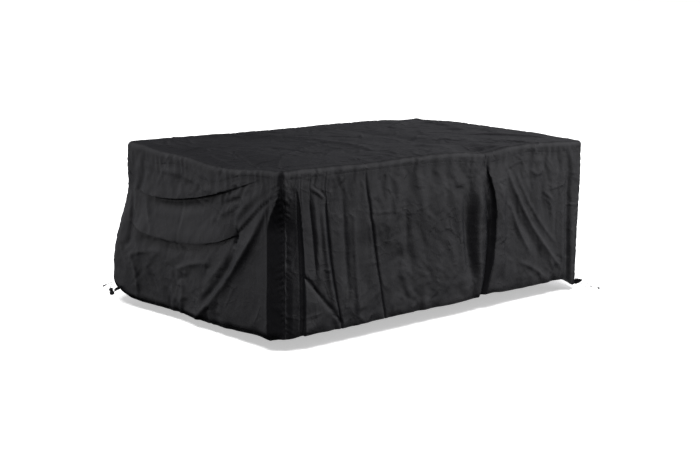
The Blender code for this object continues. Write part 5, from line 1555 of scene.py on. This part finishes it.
class COVER_OT_stage(bpy.types.Operator):
    """Camera, plain pale floor, soft studio lights and a plain backdrop"""

    bl_idname = "cover.stage"
    bl_label = "Stage and camera"

    def execute(self, context):
        scene = context.scene
        look = colours()
        yaw, pitch, roll = (math.radians(v) for v in (CAMERA_YAW, CAMERA_PITCH, CAMERA_ROLL))
        ahead = Vector((-math.sin(yaw) * math.cos(pitch), math.cos(yaw) * math.cos(pitch), -math.sin(pitch)))
        right = Vector((math.cos(yaw), math.sin(yaw), 0.0))
        up = right.cross(ahead)
        across = math.cos(roll) * right + math.sin(roll) * up
        upright = -math.sin(roll) * right + math.cos(roll) * up
        data = bpy.data.cameras.new("photo_camera")
        data.sensor_width = 36.0
        data.lens = LENS_PIXELS / FRAME_PIXELS * 36.0
        camera = bpy.data.objects.new("photo_camera", data)
        turn = Matrix((across, upright, -ahead)).transposed().to_4x4()
        camera.matrix_world = Matrix.Translation(CAMERA_PLACE) @ turn
        scene.collection.objects.link(camera)
        scene.camera = camera

        reach = sizes().floor_reach
        corners = reach * np.array([(-1, -1, 0), (1, -1, 0), (1, 1, 0), (-1, 1, 0)], float)
        corners[:, 2] = FLOOR_LEVEL
        floor = new_mesh_object("floor", corners, [(0, 1, 2, 3)], plain_floor(look.floor))
        floor.visible_diffuse = floor.visible_glossy = False
        floor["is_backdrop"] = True

        even_light("overhead_light", (-0.35, -0.42, 1.0), look.overhead, 30.0)
        scene.world = studio_backdrop(look)
        scene.view_settings.view_transform = "Standard"
        return {"FINISHED"}


class COVER_OT_cords(bpy.types.Operator):
    """The draw cord's ends at both hem corners, with the pieces on them"""

    bl_idname = "cover.cords"
    bl_label = "Cords and cord ends"

    def execute(self, context):
        look, radius = colours(), 0.5 * sizes().cord_diameter
        left = anchor_of("left_hem_tab", LEFT_TAB, LEFT_OUT)
        right = anchor_of("right_hem_tab", RIGHT_TAB, RIGHT_OUT)
        braid = cord_braid("cord_braid", look)
        plastic = moulded_plastic("cord_end_plastic", look.ends, 900.0)

        def laid(name, anchor, out, route):
            """A run of the cord along a route beside an anchor, and its line."""
            line = smooth_route(in_world(anchor, out, route), CORD_STEP)
            thing = tube(name + "_braided", line, axes_of(out)[1], radius, braid)
            return dressed(thing, name), line

        def ended(name, line, profile):
            """The moulded piece on a line's end, pointing the way the line ends."""
            ahead = line[-1] - line[-2]
            ahead /= np.linalg.norm(ahead)
            thing = turned(name + "_moulded", profile, line[-1] + ahead * END_GAP, ahead, plastic)
            return dressed(thing, name)

        cord_left, line_left = laid("left_cord", left, LEFT_OUT, LEFT_CORD)
        end_left = ended("left_cord_end", line_left, CORD_END)

        cord_in, line_in = laid("right_cord_in", right, RIGHT_OUT, RIGHT_CORD_IN)
        cord_out, line_out = laid("right_cord_out", right, RIGHT_OUT, RIGHT_CORD_OUT)
        cord_tail, line_tail = laid("right_cord_tail", right, RIGHT_OUT, RIGHT_CORD_TAIL)
        centre = in_world(right, RIGHT_OUT, [KNOT_CENTRE])[0]
        tied = dressed(knot("right_knot_tied", centre, RIGHT_OUT, radius, braid), "right_knot")
        end_right = ended("right_cord_end", line_out, KNOB_END)
        return {"FINISHED"}


class COVER_OT_fittings(bpy.types.Operator):
    """The folded hem tabs and the two-part cord lock"""

    bl_idname = "cover.fittings"
    bl_label = "Hem tabs and cord lock"

    def execute(self, context):
        look = colours()
        left = anchor_of("left_hem_tab", LEFT_TAB, LEFT_OUT)
        right = anchor_of("right_hem_tab", RIGHT_TAB, RIGHT_OUT)
        cloth = cover_cloth("hem_tab_cloth", look)
        for node, sections, out, anchor in (("left_hem_tab", LEFT_TAB, LEFT_OUT, left),
                                            ("right_hem_tab", RIGHT_TAB, RIGHT_OUT, right)):
            dressed(tab(node + "_sewn", sections, out, anchor, cloth), node)

        plastic = moulded_plastic("lock_plastic", look.lock, 700.0)
        centre = in_world(left, LEFT_OUT, [LOCK_CENTRE])[0]
        lean = np.array(LOCK_LEAN) @ axes_of(LEFT_OUT)
        for node, profile, ribs in (("lock_barrel", LOCK_BARREL, (10, 0.03)),
                                    ("lock_button", LOCK_BUTTON, (0, 0.0))):
            dressed(turned(node + "_moulded", profile, centre, lean, plastic, 60, ribs), node)
        return {"FINISHED"}


class COVER_OT_panels(bpy.types.Operator):
    """The five cloth panels, creased, simulated as hanging cloth, crumpled and stitched"""

    bl_idname = "cover.panels"
    bl_label = "Cloth panels"

    def execute(self, context):
        look, size = colours(), sizes()
        grids, flat = cover_grids()
        moves = settled(grids)
        grids = {name: grid + moves[name] for name, grid in grids.items()}
        normals = shared_normals(grids)
        for name, grid in grids.items():
            grids[name] = grid + size.crumple * crumple(grid)[..., None] * normals[name]
        normals = shared_normals(grids)
        cloth = cover_cloth("cover_cloth", look)
        for name, grid in grids.items():
            thing = panel(name, grid, flat[name], normals[name], size.thickness, cloth)
            dressed(thing, name + "_panel")
        return {"FINISHED"}


class COVER_PT_panel(bpy.types.Panel):
    """Buttons and settings of the cover"""

    bl_idname = "COVER_PT_panel"
    bl_label = "Patio Furniture Cover"
    bl_space_type = "VIEW_3D"
    bl_region_type = "UI"
    bl_category = "Cover"

    def draw(self, context):
        layout = self.layout
        for operator in OPERATORS:
            layout.operator(operator.bl_idname)
        for group in (context.scene.cover_sizes, context.scene.cover_colours):
            for key in group.__annotations__:
                layout.prop(group, key)


OPERATORS = (COVER_OT_stage, COVER_OT_cords, COVER_OT_fittings, COVER_OT_panels)
CLASSES = (CoverSizes, CoverColours, *OPERATORS, COVER_PT_panel)


def register():
    """Adds the classes and the two groups of settings."""
    for cls in CLASSES:
        bpy.utils.register_class(cls)
    bpy.types.Scene.cover_sizes = PointerProperty(type=CoverSizes)
    bpy.types.Scene.cover_colours = PointerProperty(type=CoverColours)


def unregister():
    """Takes them away again, in the opposite order."""
    del bpy.types.Scene.cover_colours
    del bpy.types.Scene.cover_sizes
    for cls in reversed(CLASSES):
        bpy.utils.unregister_class(cls)


def write_sizes(visual):
    """Only imports json: the boxes passed in are not used."""
    import json


def main():
    """Stage, cords, fittings and panels, in that order."""
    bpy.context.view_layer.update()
    register()
    bpy.ops.cover.stage()
    bpy.ops.cover.cords()
    bpy.ops.cover.fittings()
    bpy.ops.cover.panels()
    write_sizes(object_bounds())


if __name__ == "__main__":
    main()
